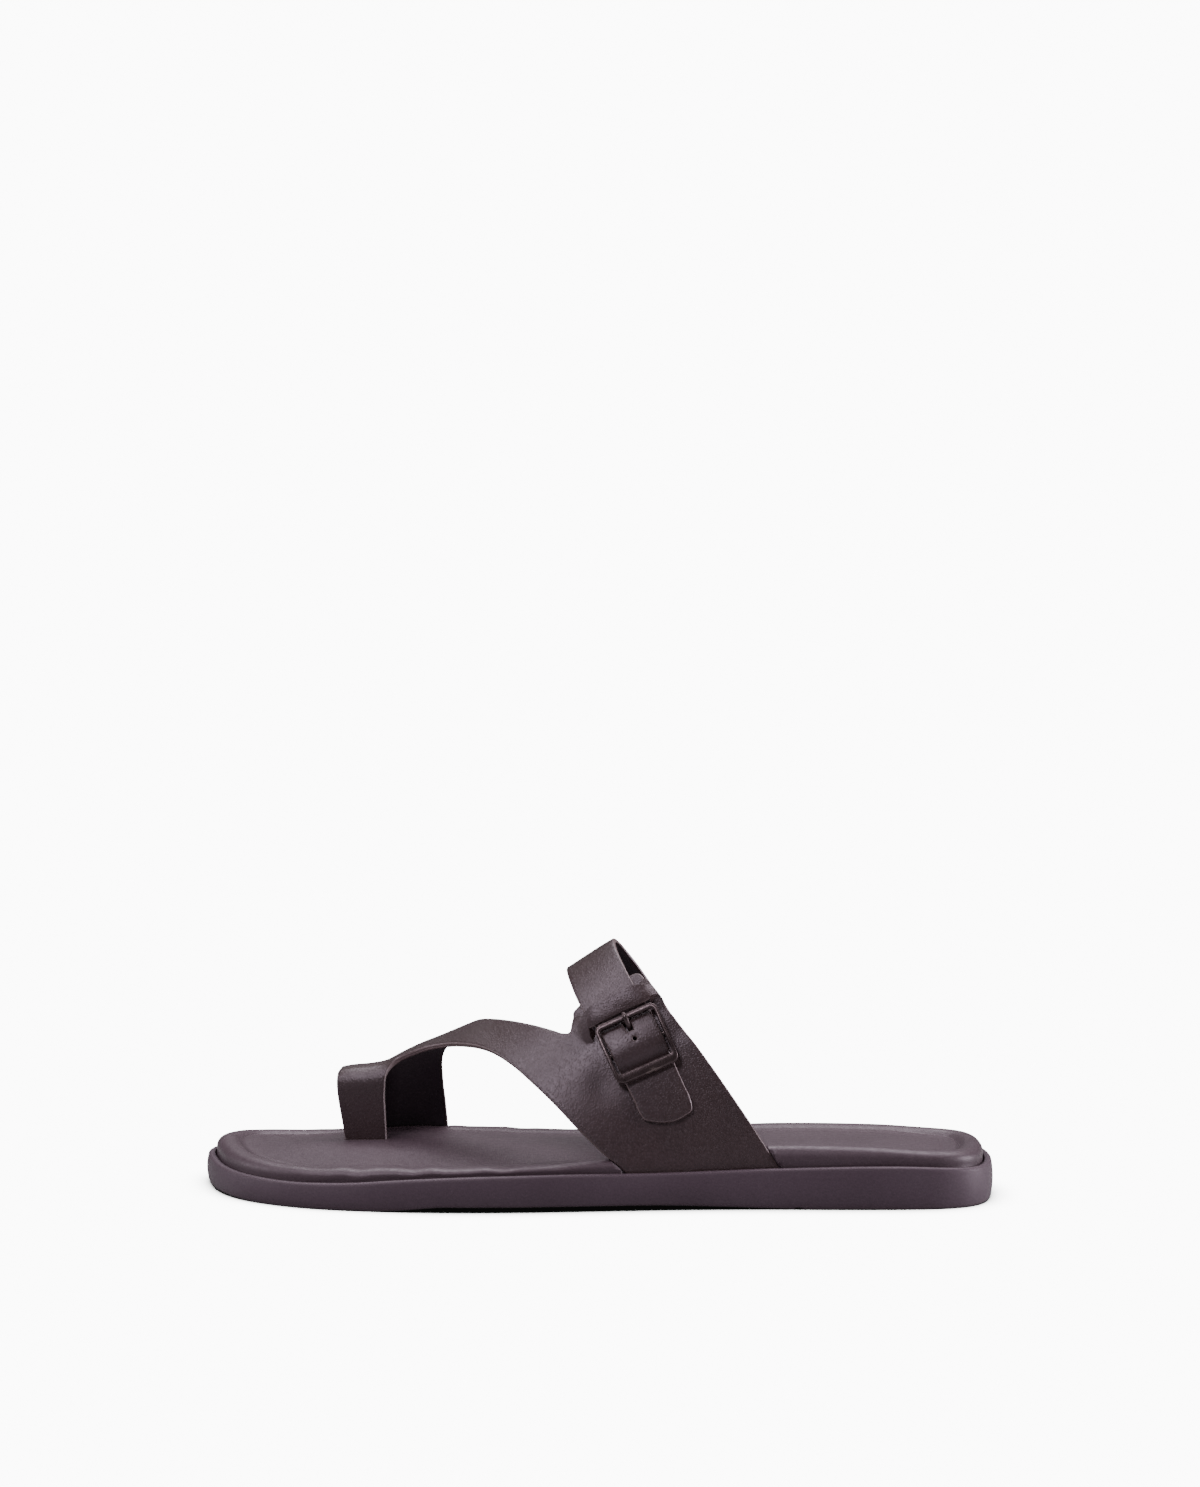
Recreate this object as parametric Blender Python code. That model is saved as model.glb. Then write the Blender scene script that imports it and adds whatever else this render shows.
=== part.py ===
"""Left toe-loop sandal: moulded sole, padded footbed, leather upper with a loop for the big toe,
and an instep strap with a buckle. Metres, +Z up. The toe points to -X, the outer side to -Y,
the inner side to +Y, and the origin lies on the floor under the middle."""

import math

import bmesh
import bpy
import numpy as np
from mathutils.geometry import delaunay_2d_cdt

# Driving sizes in metres
LENGTH = 0.290
BALL_WIDTH = 0.106
EDGE_HEIGHT = 0.0155
TOE_SPRING = 0.0012
WAIST_RAISE = 0.0020
LIP_WIDTH = 0.0032
CUP_DEPTH = 0.0045
EDGE_BULGE = 0.0005
FOOT_EDGE = 0.0009
LIP_EDGE = 0.0012
RIM_RISE = 0.0074
RIM_HOLLOW = 0.0020
BALL_DOME = 0.0018
HEEL_DOME = 0.0008
CREST_HEIGHT = 0.0885
LEATHER = 0.0020
STRAP_LEATHER = 0.0018
FIT_GAP = 0.0003
CUP_GAP = 0.0005
BAR_GAP = 0.0009
SLOT_DEPTH = 0.0034
TOE_ROOM = 0.0215
TOE_BEND = 0.0035
LEG_LEAN = 0.10
LEG_SEAT = 0.0022
STRAP_WIDTH = 0.0195
TIP_LEAN = 0.085
TOP_LEAN = 0.03
BUCKLE_BAR = 0.0021
BUCKLE_PLATE = 0.0034
SIDE_BAR = 0.0014
SIDE_EASE = 0.0009
BUCKLE_LENGTH = 0.0236
BUCKLE_DEPTH = 0.0020
BUCKLE_ROUND = 0.0028
CENTRE_BAR = 0.0017
CENTRE_BAR_WIDTH = 0.0018
OVER_BAR = 0.0024
HUMP_RISE = (-0.0099, -0.0052)
HUMP_FALL = (0.0013, 0.0078)
PRONG_HOLE = (-0.0092, -0.0046)
PRONG_DEPTH = 0.0013
PRONG_WIDTH = 0.0018
TIP_REACH = 0.0256
TIP_ROUND = 0.0046
BAND_WIDTH = 0.0068
BAND_CLEAR = 0.0010
SLIT = 0.0008
SLIT_EASE = 0.0012
TAB_MARGIN = 0.0026
TAB_RISE = 0.0097
ROOM_EASE = 0.0007
GROOVE_WIDTH = 0.0020
GROOVE_DEPTH = 0.0008

# Sole outline: share of length from the toe, outer and inner edge as shares of ball width
OUTLINE = (
    (0.000, 0.105, 0.105),
    (0.006, -0.004, 0.200),
    (0.025, -0.155, 0.302),
    (0.060, -0.292, 0.378),
    (0.104, -0.382, 0.424),
    (0.150, -0.440, 0.455),
    (0.210, -0.478, 0.482),
    (0.280, -0.497, 0.498),
    (0.340, -0.499, 0.492),
    (0.420, -0.481, 0.443),
    (0.520, -0.439, 0.363),
    (0.620, -0.396, 0.321),
    (0.720, -0.368, 0.306),
    (0.820, -0.356, 0.311),
    (0.900, -0.338, 0.305),
    (0.945, -0.312, 0.284),
    (0.975, -0.262, 0.232),
    (0.992, -0.185, 0.150),
    (1.000, -0.020, -0.020),
)

# Sole side: share of length, lip height as a share of edge height
LIP = (
    (0.00, 0.71), (0.03, 0.65), (0.07, 0.61), (0.12, 0.585), (0.17, 0.61), (0.21, 0.65),
    (0.26, 0.73), (0.32, 0.80), (0.45, 0.865), (0.60, 0.875), (0.73, 0.95), (0.90, 0.99),
    (1.00, 0.88),
)

# Shares of length where the raised waist begins and ends, and the ends of the tread groove
WAIST_RISE = (0.235, 0.330)
WAIST_FALL = (0.550, 0.800)
HEEL_GROOVE = (0.728, 0.870)

# Footbed: share of length, outer and inner rim above the lip as shares of rim rise,
# hollow as a share of rim hollow
RIM = (
    (0.00, 0.74, 0.74, 0.60), (0.10, 0.64, 0.66, 0.45), (0.21, 0.59, 0.57, 0.32),
    (0.32, 0.38, 0.30, 0.45), (0.45, 0.38, 0.24, 0.45), (0.52, 0.58, 0.42, 0.50),
    (0.60, 0.80, 0.62, 0.65), (0.72, 1.00, 0.80, 0.80), (0.84, 0.84, 0.68, 0.90),
    (0.92, 0.69, 0.61, 0.90), (1.00, 0.78, 0.78, 0.90),
)

# Foot form under the leather: share of length, crest height as a share of crest height,
# crest place across as a share of ball width
FORM = (
    (0.150, 0.415, 0.250), (0.180, 0.440, 0.232), (0.210, 0.453, 0.220), (0.229, 0.468, 0.215),
    (0.247, 0.500, 0.212), (0.268, 0.535, 0.208), (0.300, 0.580, 0.195), (0.340, 0.640, 0.165),
    (0.375, 0.690, 0.130), (0.410, 0.750, 0.100), (0.462, 0.860, 0.070), (0.527, 1.000, 0.050),
    (0.600, 1.120, 0.030), (0.750, 1.280, 0.010),
)
SHOULDER_LEAN = 0.25

# Where a leg of leather goes down between footbed and lip: first and last share of length
OUTER_PANEL = (0.553, 0.740)
TOE_PANEL = (0.170, 0.298)
INSTEP_FOOT = (0.578, 0.702)

# Edges of the upper on the foot form: share of length, turn round the form
FRONT_EDGE = (
    (0.540, 0.017), (0.520, 0.037), (0.488, 0.079), (0.460, 0.127), (0.430, 0.185),
    (0.400, 0.250), (0.365, 0.322), (0.335, 0.369), (0.307, 0.411), (0.282, 0.438),
    (0.262, 0.450), (0.244, 0.452), (0.232, 0.436), (0.2265, 0.395), (0.2245, 0.340),
)
TOE_EDGE = (
    (0.168, 0.330), (0.166, 0.400), (0.167, 0.460), (0.170, 0.540), (0.175, 0.640),
    (0.176, 0.750), (0.173, 0.880),
)
REAR_EDGE = (
    (0.295, 0.888), (0.293, 0.802), (0.299, 0.667), (0.320, 0.585), (0.352, 0.500),
    (0.387, 0.412), (0.425, 0.335), (0.455, 0.283), (0.466, 0.267),
)
HEEL_EDGE = (
    (0.613, 0.200), (0.635, 0.162), (0.680, 0.090), (0.700, 0.060), (0.720, 0.030),
)
TOE_LEG_BASE = (0.1705, 0.2225)

# Corners of the tab behind the strap: across as a share of half the tab, and how far above the
# band as a share of the tab's rise
TAB = (
    (-1.332, -0.062), (-1.221, 0.165), (-1.044, 0.557), (-0.956, 0.835), (-0.749, 1.000),
    (0.734, 1.000), (0.926, 0.959), (1.000, 0.753), (0.985, 0.103), (1.015, -0.309),
    (1.081, -0.804),
)

# Edges of the instep strap from its inner foot to the buckle: front share, rear share, turn
STRAP_ROWS = (
    (0.525, 0.637, 0.90), (0.490, 0.590, 0.80), (0.478, 0.556, 0.70), (0.470, 0.535, 0.60),
    (0.468, 0.528, 0.50), (0.474, 0.534, 0.40),
)

# The strap below the buckle: places along it, then its tip: across as a share of half the strap,
# and the distance short of its end as a share of the tip's round
STRAP_RUN = (-0.022, -0.010, 0.000, 0.012)
STRAP_TIP = (
    (-1.000, 1.74), (-1.000, 0.900), (-0.945, 0.500), (-0.760, 0.290), (0.640, 0.000),
    (0.915, 0.180), (1.000, 0.650), (1.000, 1.74),
)

# Middle of the buckle on the form, its slant and the bend of its frame
BUCKLE_PLACE = (0.5575, 0.1895)
BUCKLE_SLANT = math.radians(8)
BUCKLE_BEND = 0.085
BUCKLE_TWIST = 3.3

STATIONS = 42
GRID = 0.0042
GIRTH = 0.150
SLIVER = 1e-3
FOLD_TURN = 0.46
LEG_TURN = 0.20
FOLD_FULL = 0.238
FOLD_NONE = 0.285
ROOM_PAST = 0.03
ROOM_TOP = 0.80
LEG_ROOM = (1.06, 0.60)


def smooth(rows, column, at):
    """Value of a table's column on a smooth curve through its rows."""
    table = np.array(rows)
    places, values = table[:, 0], table[:, column]
    slopes = np.gradient(values, places)
    at = np.clip(at, places[0], places[-1])
    i = np.clip(np.searchsorted(places, at, side="right") - 1, 0, len(places) - 2)
    span = places[i + 1] - places[i]
    t = (at - places[i]) / span
    rise = values[i] * (1 + 2 * t) * (1 - t) ** 2 + values[i + 1] * t * t * (3 - 2 * t)
    return rise + span * (slopes[i] * t * (1 - t) ** 2 - slopes[i + 1] * t * t * (1 - t))


def ease(low, high, value):
    """0 below low, 1 above high, smooth between."""
    t = np.clip((value - low) / (high - low), 0.0, 1.0)
    return t * t * (3 - 2 * t)


def round_share(share):
    """A measure of length that runs evenly round the toe and the heel."""
    return np.arccos(np.clip(1 - 2 * np.asarray(share, float), -1, 1)) / math.pi


ROUND_OUTLINE = tuple((float(round_share(row[0])),) + row[1:] for row in OUTLINE)
FINE = np.linspace(0, 1, 401)
WIDEST = (smooth(ROUND_OUTLINE, 1, FINE).min(), smooth(ROUND_OUTLINE, 2, FINE).max())


def edge_point(side, turn):
    """Plan point of the sole's edge: side 1 outer, 2 inner, at a round share of length."""
    across = smooth(ROUND_OUTLINE, side, turn) - (WIDEST[0] + WIDEST[1]) / 2
    along = -LENGTH * np.cos(math.pi * turn) / 2
    return np.stack([along, across * BALL_WIDTH / (WIDEST[1] - WIDEST[0])], axis=-1)


def inset_edge(side, turn, inset):
    """The same, moved in square to the edge."""
    step = 1e-4
    ahead = edge_point(side, np.minimum(turn + step, 1))
    run = ahead - edge_point(side, np.maximum(turn - step, 0))
    run /= np.linalg.norm(run, axis=-1, keepdims=True)
    square = np.stack([-run[..., 1], run[..., 0]], axis=-1) * (1 if side == 1 else -1)
    return edge_point(side, turn) + square * inset


def edge_across(side, share, inset):
    """Place across of the inset edge at a share of length."""
    turn = round_share(share)
    step = 1e-4
    run = edge_point(side, turn + step) - edge_point(side, turn - step)
    slant = np.hypot(run[..., 0], run[..., 1]) / np.abs(run[..., 0])
    return edge_point(side, turn)[..., 1] + inset * slant * (1 if side == 1 else -1)


TURNS = np.linspace(0, 1, STATIONS + 1)
SHARES = (1 - np.cos(math.pi * TURNS)) / 2
RING_SHARES = np.concatenate([SHARES, SHARES[-2:0:-1]])


def ring(inset, heights):
    """Closed ring round the shoe: outer side from toe to heel, then back along the inner side."""
    outer = inset_edge(1, TURNS, inset)
    inner = inset_edge(2, TURNS[-2:0:-1], inset)
    plan = np.concatenate([outer, inner])
    return np.column_stack([plan, np.broadcast_to(heights, RING_SHARES.shape)])


def lip_height(share):
    return EDGE_HEIGHT * smooth(LIP, 1, share)


def bottom_height(share):
    """Underside: toe spring, flat ball, raised waist, flat heel with a slight lift at its end."""
    toe = TOE_SPRING * (1 - ease(-0.06, 0.11, share))
    waist = WAIST_RAISE * ease(*WAIST_RISE, share) * (1 - ease(*WAIST_FALL, share))
    heel = 0.3 * TOE_SPRING * ease(0.965, 1.02, share)
    return toe + waist + heel


def material(name, colour, roughness, metallic=0.0):
    made = bpy.data.materials.new(name)
    made.use_nodes = True
    shader = made.node_tree.nodes["Principled BSDF"]
    shader.inputs["Base Color"].default_value = (*colour, 1.0)
    shader.inputs["Roughness"].default_value = roughness
    shader.inputs["Metallic"].default_value = metallic
    return made


def add_object(name, points, faces, finish):
    mesh = bpy.data.meshes.new(name)
    mesh.from_pydata([tuple(map(float, p)) for p in points], [], faces)
    build = bmesh.new()
    build.from_mesh(mesh)
    bmesh.ops.recalc_face_normals(build, faces=build.faces)
    build.to_mesh(mesh)
    build.free()
    mesh.shade_smooth()
    mesh.set_sharp_from_angle(angle=math.radians(40))
    mesh.materials.append(finish)
    made = bpy.data.objects.new(name, mesh)
    bpy.context.scene.collection.objects.link(made)
    return made


def cut(body, cutter):
    """Takes one shape out of another; the cutter stays as a guide that isn't rendered."""
    cutter.hide_render = True
    cutter.display_type = "WIRE"
    made = body.modifiers.new(cutter.name, "BOOLEAN")
    made.operation = "DIFFERENCE"
    made.object = cutter


def close_across(points, faces, start, ring_points, between, crown, up):
    """Closes a ring with rungs from the outer to the inner side; crown(share, place) adds height."""
    count = len(ring_points)
    rungs = []
    for i in range(1, STATIONS):
        first, last = ring_points[i], ring_points[count - i]
        rung = [start + i]
        for k in range(1, between + 1):
            place = k / (between + 1)
            point = first + (last - first) * place
            point[2] += crown(SHARES[i], place)
            rung.append(len(points))
            points.append(point)
        rung.append(start + count - i)
        rungs.append(rung)
    quads = []
    for a, b in zip(rungs, rungs[1:]):
        quads += [(a[k], b[k], b[k + 1], a[k + 1]) for k in range(len(a) - 1)]
    quads += [(start, rungs[0][k], rungs[0][k + 1]) for k in range(len(rungs[0]) - 1)]
    heel = start + STATIONS
    quads += [(heel, rungs[-1][k + 1], rungs[-1][k]) for k in range(len(rungs[-1]) - 1)]
    faces += quads if up else [face[::-1] for face in quads]


def lofted(name, rings, between, low_crown, high_crown, finish):
    """A solid through rings from the lowest one out and up to the highest one."""
    points, faces = [], []
    for points_of_ring in rings:
        points += [point.copy() for point in points_of_ring]
    count = len(rings[0])
    for level in range(len(rings) - 1):
        for i in range(count):
            a, b = level * count + i, level * count + (i + 1) % count
            faces.append((a, b, b + count, a + count))
    close_across(points, faces, 0, rings[0], between[0], low_crown, False)
    close_across(points, faces, (len(rings) - 1) * count, rings[-1], between[1], high_crown, True)
    return add_object(name, points, faces, finish)


def build_sole(finish):
    """Cup sole: underside, barrel side, rounded lip and the cup that holds the footbed."""
    low = bottom_height(RING_SHARES)
    lip = lip_height(RING_SHARES)
    cup = lip - CUP_DEPTH
    middle = low + 0.5 * (lip - low)
    rings = [
        ring(0.0050, low),
        ring(EDGE_BULGE + FOOT_EDGE, low),
        ring(EDGE_BULGE + 0.3 * FOOT_EDGE, low + 0.5 * FOOT_EDGE),
        ring(0.5 * EDGE_BULGE, low + 2.2 * FOOT_EDGE),
        ring(0.0, middle),
        ring(0.5 * EDGE_BULGE, lip - 1.4 * LIP_EDGE),
        ring(EDGE_BULGE + 0.3 * LIP_EDGE, lip - 0.4 * LIP_EDGE),
        ring(EDGE_BULGE + LIP_EDGE, lip),
        ring(LIP_WIDTH - 0.0006, lip - 0.0001),
        ring(LIP_WIDTH, lip - 0.0006),
        ring(LIP_WIDTH + 0.0001, cup),
    ]
    sole = lofted("sole", rings, (1, 1), lambda s, p: 0.0, lambda s, p: 0.0, finish)
    first, last = (np.array([(share - 0.5) * LENGTH, side * BALL_WIDTH * 0.6])
                   for share, side in zip(HEEL_GROOVE, (-1, 1)))
    along = (last - first) / np.linalg.norm(last - first)
    square = np.array([-along[1], along[0]]) * GROOVE_WIDTH / 2
    corners = [first + square, first - square, last - square, last + square]
    points = [(*c, z) for z in (-EDGE_HEIGHT, GROOVE_DEPTH) for c in corners]
    faces = [(3, 2, 1, 0), (4, 5, 6, 7)]
    faces += [(i, (i + 1) % 4, (i + 1) % 4 + 4, i + 4) for i in range(4)]
    cut(sole, add_object("heel_groove", points, faces, finish))
    return sole


def rim_height(share, side):
    return lip_height(share) + RIM_RISE * smooth(RIM, side, share)


def bed_height(share, side):
    """Top of the footbed inside its rim."""
    return rim_height(share, side) - RIM_HOLLOW * smooth(RIM, 3, share)


def round_both(height):
    """A height of each side, laid round the ring."""
    return np.concatenate([height(SHARES, 1), height(SHARES[-2:0:-1], 2)])


def build_footbed(finish):
    """Padded insole: it stands in the cup, with a raised rim and a hollow inside it."""
    floor = lip_height(RING_SHARES) - CUP_DEPTH + CUP_GAP
    lip = lip_height(RING_SHARES)
    rim = round_both(rim_height)
    bed = round_both(bed_height)
    edge = LIP_WIDTH + 0.0001 + FIT_GAP
    rings = [
        ring(edge + 0.0030, floor),
        ring(edge + 0.0008, floor),
        ring(edge, floor + 0.0010),
        ring(edge, lip),
        ring(edge + 0.0002, lip + 0.40 * (rim - lip)),
        ring(edge + 0.0008, lip + 0.72 * (rim - lip)),
        ring(edge + 0.0020, lip + 0.93 * (rim - lip)),
        ring(edge + 0.0038, rim),
        ring(0.5 * edge + 0.0085, 0.6 * rim + 0.4 * bed),
        ring(0.0120, bed),
    ]

    def crown(share, place):
        dome = HEEL_DOME + (BALL_DOME - HEEL_DOME) * (1 - ease(0.35, 0.60, share))
        ends = ease(0.02, 0.14, share) * (1 - ease(0.88, 0.98, share))
        return dome * ends * math.sin(math.pi * place)

    return lofted("footbed", rings, (1, 5), lambda s, p: 0.0, crown, finish)


def form_point(share, turn):
    """Inner face of the leather on the foot form: turn 0 at the outer side's foot, 0.5 on the
    crest and 1 at the inner side's foot."""
    inset = LIP_WIDTH + 0.0001 + FIT_GAP + LEATHER
    top = CREST_HEIGHT * smooth(FORM, 1, share)
    middle = BALL_WIDTH * smooth(FORM, 2, share)
    outer = edge_across(1, share, inset)
    inner = edge_across(2, share, inset)
    foot = lip_height(share) - SLOT_DEPTH
    angle = math.pi * turn
    spread = (1 - SHOULDER_LEAN) * np.abs(np.cos(angle)) + SHOULDER_LEAN * (1 - np.sin(angle))
    side = np.where(turn < 0.5, outer, inner)
    return np.stack([
        (share - 0.5) * LENGTH,
        middle + (side - middle) * spread,
        foot + (top - foot) * np.sin(angle),
    ], axis=-1)


def toe_leg_point(share, turn):
    """The narrow leg beside the big toe: round a bend at the fold, then down to the footbed."""
    fold = form_point(share, np.full_like(turn, FOLD_TURN))
    travel = np.clip((FOLD_TURN - turn) / LEG_TURN, 0, None)
    inside = edge_across(2, share, LIP_WIDTH + FIT_GAP + LEATHER) - TOE_ROOM
    fold_run = fold[..., 1] - inside - TOE_BEND
    end = bed_height(share, 2) + BALL_DOME - LEG_SEAT
    drop = fold[..., 2] - TOE_BEND - end
    arc = TOE_BEND * math.pi / 2
    whole = np.maximum(fold_run, 0) + arc + drop
    gone = travel * whole - np.maximum(fold_run, 0)
    bend = np.clip(gone / TOE_BEND, 0, math.pi / 2)
    down = np.clip(gone - arc, 0, None)
    flat = np.minimum(gone, 0) + np.maximum(fold_run, 0)
    return np.stack([
        fold[..., 0] + LEG_LEAN * down,
        fold[..., 1] - flat - TOE_BEND * np.sin(bend),
        fold[..., 2] - TOE_BEND * (1 - np.cos(bend)) - down,
    ], axis=-1)


def upper_point(place):
    """Inner face of the upper at flat pattern points (length along the shoe, girth)."""
    share = place[:, 0] / LENGTH
    turn = place[:, 1] / GIRTH
    form = form_point(share, turn)
    leg = toe_leg_point(share, np.minimum(turn, FOLD_TURN))
    amount = (1 - ease(FOLD_FULL, FOLD_NONE, share)) * (turn < FOLD_TURN)
    return form + (leg - form) * amount[:, None]


def outward(surface, place):
    """Unit normals of a surface of pattern points, facing away from the foot."""
    step = 2e-4
    ahead, across = np.array([step, 0.0]), np.array([0.0, step])
    run = surface(place + ahead) - surface(place - ahead)
    rise = surface(place + across) - surface(place - across)
    normal = np.cross(rise, run)
    normal /= np.maximum(np.linalg.norm(normal, axis=1, keepdims=True), 1e-12)
    return -normal


def pattern(share, turn):
    return np.array([share * LENGTH, turn * GIRTH])


def form_at(place):
    return form_point(place[:, 0] / LENGTH, place[:, 1] / GIRTH)


def buckle_axes():
    """Origin on the form, and the unit directions across, along (to the tip) and outward; then
    the pattern steps for one metre across and along."""
    middle = pattern(*BUCKLE_PLACE)[None]
    step = 1e-5
    run = (form_at(middle + (step, 0)) - form_at(middle - (step, 0)))[0] / (2 * step)
    rise = (form_at(middle + (0, step)) - form_at(middle - (0, step)))[0] / (2 * step)
    out = outward(form_at, middle)[0]
    level = run / np.linalg.norm(run)
    up = np.cross(level, out)
    up *= np.sign(up @ rise)
    across = math.cos(BUCKLE_SLANT) * level + math.sin(BUCKLE_SLANT) * up
    along = math.sin(BUCKLE_SLANT) * level - math.cos(BUCKLE_SLANT) * up
    tangents = np.column_stack([run, rise])
    steps = np.linalg.lstsq(tangents, np.column_stack([across, along]), rcond=None)[0]
    return form_at(middle)[0], across, along, out, steps


ORIGIN, ACROSS, ALONG, OUT, STEPS = buckle_axes()
BACK_STEPS = np.linalg.inv(STEPS)


def by_buckle(across, along):
    """Pattern point at a distance across and along from the middle of the buckle."""
    return pattern(*BUCKLE_PLACE) + STEPS @ np.array([across, along])


def from_buckle(place):
    """Distances across and along of pattern points from the middle of the buckle."""
    return (place - pattern(*BUCKLE_PLACE)) @ BACK_STEPS.T


def curve_through(points, spacing):
    """Points about a spacing apart on a smooth curve through the given ones, ends included."""
    points = np.array(points)
    lengths = np.linalg.norm(np.diff(points, axis=0), axis=1)
    places = np.concatenate([[0], np.cumsum(lengths)])
    rows = np.column_stack([places, points])
    count = max(1, round(places[-1] / spacing))
    at = np.linspace(0, places[-1], count + 1)
    return np.column_stack([smooth(rows, 1, at), smooth(rows, 2, at)])


def joined(*curves):
    """One closed outline from curves that follow each other."""
    points = np.concatenate(curves)
    gaps = np.linalg.norm(points - np.roll(points, 1, axis=0), axis=1)
    return points[gaps > 1e-6]


def inside(outline, points):
    """Which points lie inside a closed outline."""
    found = np.zeros(len(points), bool)
    for (ax, ay), (bx, by) in zip(outline, np.roll(outline, -1, axis=0)):
        if ay == by:
            continue
        spans = (ay > points[:, 1]) != (by > points[:, 1])
        crossing = ax + (points[:, 1] - ay) * (bx - ax) / (by - ay)
        found ^= spans & (points[:, 0] < crossing)
    return found


def distance_to(outline, points):
    """Distance from each point to a closed outline."""
    nearest = np.full(len(points), np.inf)
    for a, b in zip(outline, np.roll(outline, -1, axis=0)):
        run = b - a
        t = np.clip((points - a) @ run / (run @ run), 0, 1)
        gap = np.linalg.norm(points - a - t[:, None] * run, axis=1)
        nearest = np.minimum(nearest, gap)
    return nearest


def cut_sheet(outline, holes):
    """Triangles of a flat pattern with holes, on an even grid of points."""
    low, high = outline.min(axis=0), outline.max(axis=0)
    columns = np.arange(low[0], high[0], GRID)
    rows = np.arange(low[1], high[1], GRID * 0.87)
    grid = np.array([(x + GRID / 2 * (j % 2), y) for j, y in enumerate(rows) for x in columns])
    keep = inside(outline, grid) & (distance_to(outline, grid) > 0.5 * GRID)
    for hole in holes:
        keep &= ~inside(hole, grid) & (distance_to(hole, grid) > 0.45 * GRID)
    loops = [outline, *holes]
    points = np.concatenate([*loops, grid[keep]])
    edges, start = [], 0
    for loop in loops:
        edges += [(start + i, start + (i + 1) % len(loop)) for i in range(len(loop))]
        start += len(loop)
    flat, _, faces, *_ = delaunay_2d_cdt([tuple(p) for p in points], edges, [], 0, 1e-9)
    flat = np.array(flat)
    corners = flat[np.array(faces)]
    (ax, ay), (bx, by) = (corners[:, 1] - corners[:, 0]).T, (corners[:, 2] - corners[:, 0]).T
    middles = corners.mean(axis=1)
    keep = inside(outline, middles) & (np.abs(ax * by - ay * bx) > SLIVER * GRID * GRID)
    for hole in holes:
        keep &= ~inside(hole, middles)
    return flat, [tuple(face) for face, kept in zip(faces, keep) if kept]


def leather(name, outline, holes, inner_face, thickness, finish):
    """A wall of leather: the pattern laid on its inner face, and again a thickness further out."""
    flat, faces = cut_sheet(outline, holes)
    used = sorted({i for face in faces for i in face})
    number = {old: new for new, old in enumerate(used)}
    flat = flat[used]
    faces = [tuple(number[i] for i in face) for face in faces]
    under = inner_face(flat)
    over = under + thickness * outward(inner_face, flat)
    count = len(flat)
    solid = [face[::-1] for face in faces] + [tuple(i + count for i in face) for face in faces]
    sides = {(face[i], face[(i + 1) % 3]) for face in faces for i in range(3)}
    solid += [(a, b, b + count, a + count) for a, b in sides if (b, a) not in sides]
    return add_object(name, np.concatenate([under, over]), solid, finish)


BUCKLE_WIDTH = STRAP_WIDTH + 2 * (SIDE_EASE + SIDE_BAR)
SLIT_REACH = STRAP_WIDTH / 2 + SLIT_EASE
BAND_LOW = -BUCKLE_LENGTH / 2 - BAND_CLEAR
BAND_HIGH = BAND_LOW - BAND_WIDTH
STRAP_SEAT = LEATHER + FIT_GAP
BAND_LIFT = STRAP_SEAT + STRAP_LEATHER + FIT_GAP


def band_lift(place):
    """How far the keeper band and the leather at its ends stand off the form."""
    across, along = np.abs(from_buckle(place))[:, 0], from_buckle(place)[:, 1]
    middle = (BAND_LOW + BAND_HIGH) / 2
    off_band = np.abs(along - middle) - BAND_WIDTH / 2
    beside = ease(SLIT_REACH, SLIT_REACH + 0.0025, across) * (1 - ease(0, 0.0045, off_band))
    band = np.where(off_band < 0, 1.0, beside)
    return BAND_LIFT * band * (1 - ease(SLIT_REACH - 0.0010, SLIT_REACH + 0.0052, across))


def upper_face(place):
    """Inner face of the upper, with the keeper band lifted over the strap."""
    return upper_point(place) + band_lift(place)[:, None] * outward(form_at, place)


def slit(along):
    corners = [(-SLIT_REACH, along - SLIT / 2), (SLIT_REACH, along - SLIT / 2),
               (SLIT_REACH, along + SLIT / 2), (-SLIT_REACH, along + SLIT / 2)]
    places = [by_buckle(*corner) for corner in corners]
    runs = [curve_through([a, b], 0.0030) for a, b in zip(places, places[1:] + places[:1])]
    return joined(*runs)


def build_upper(finish):
    """Outer panel with its tab and keeper band, diagonal strap and the loop of the big toe."""
    outer_front, outer_rear = (pattern(share, 0) for share in OUTER_PANEL)
    toe_front, toe_rear = (pattern(share, 1) for share in TOE_PANEL)
    leg_front, leg_rear = (pattern(share, FOLD_TURN - LEG_TURN) for share in TOE_LEG_BASE)
    half = SLIT_REACH + TAB_MARGIN
    tab = [by_buckle(half * across, BAND_HIGH - TAB_RISE * rise) for across, rise in TAB]
    front = [outer_front, *(pattern(*row) for row in FRONT_EDGE), leg_rear]
    toe = [leg_front, *(pattern(*row) for row in TOE_EDGE), toe_front]
    rear = [toe_rear, *(pattern(*row) for row in REAR_EDGE), *tab]
    rear += [*(pattern(*row) for row in HEEL_EDGE), outer_rear]
    outline = joined(
        curve_through(front, GRID * 0.8),
        curve_through([leg_rear, leg_front], GRID),
        curve_through(toe, GRID),
        curve_through([toe_front, toe_rear], GRID),
        curve_through(rear, GRID * 0.75),
        curve_through([outer_rear, outer_front], GRID),
    )
    slits = [slit(BAND_LOW), slit(BAND_HIGH)]
    return leather("upper", outline, slits, upper_face, LEATHER, finish)


def strap_face(place):
    """Inner face of the instep strap: on the panel, over the centre bar, and on the form inside."""
    across, along = from_buckle(place).T
    turn = place[:, 1] / GIRTH
    seat = STRAP_SEAT * (1 - ease(0.42, 0.75, turn))
    hump = OVER_BAR * ease(*HUMP_RISE, along) * (1 - ease(*HUMP_FALL, along))
    hump *= np.abs(across) < STRAP_WIDTH
    return form_at(place) + (seat + hump)[:, None] * outward(form_at, place)


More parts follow.
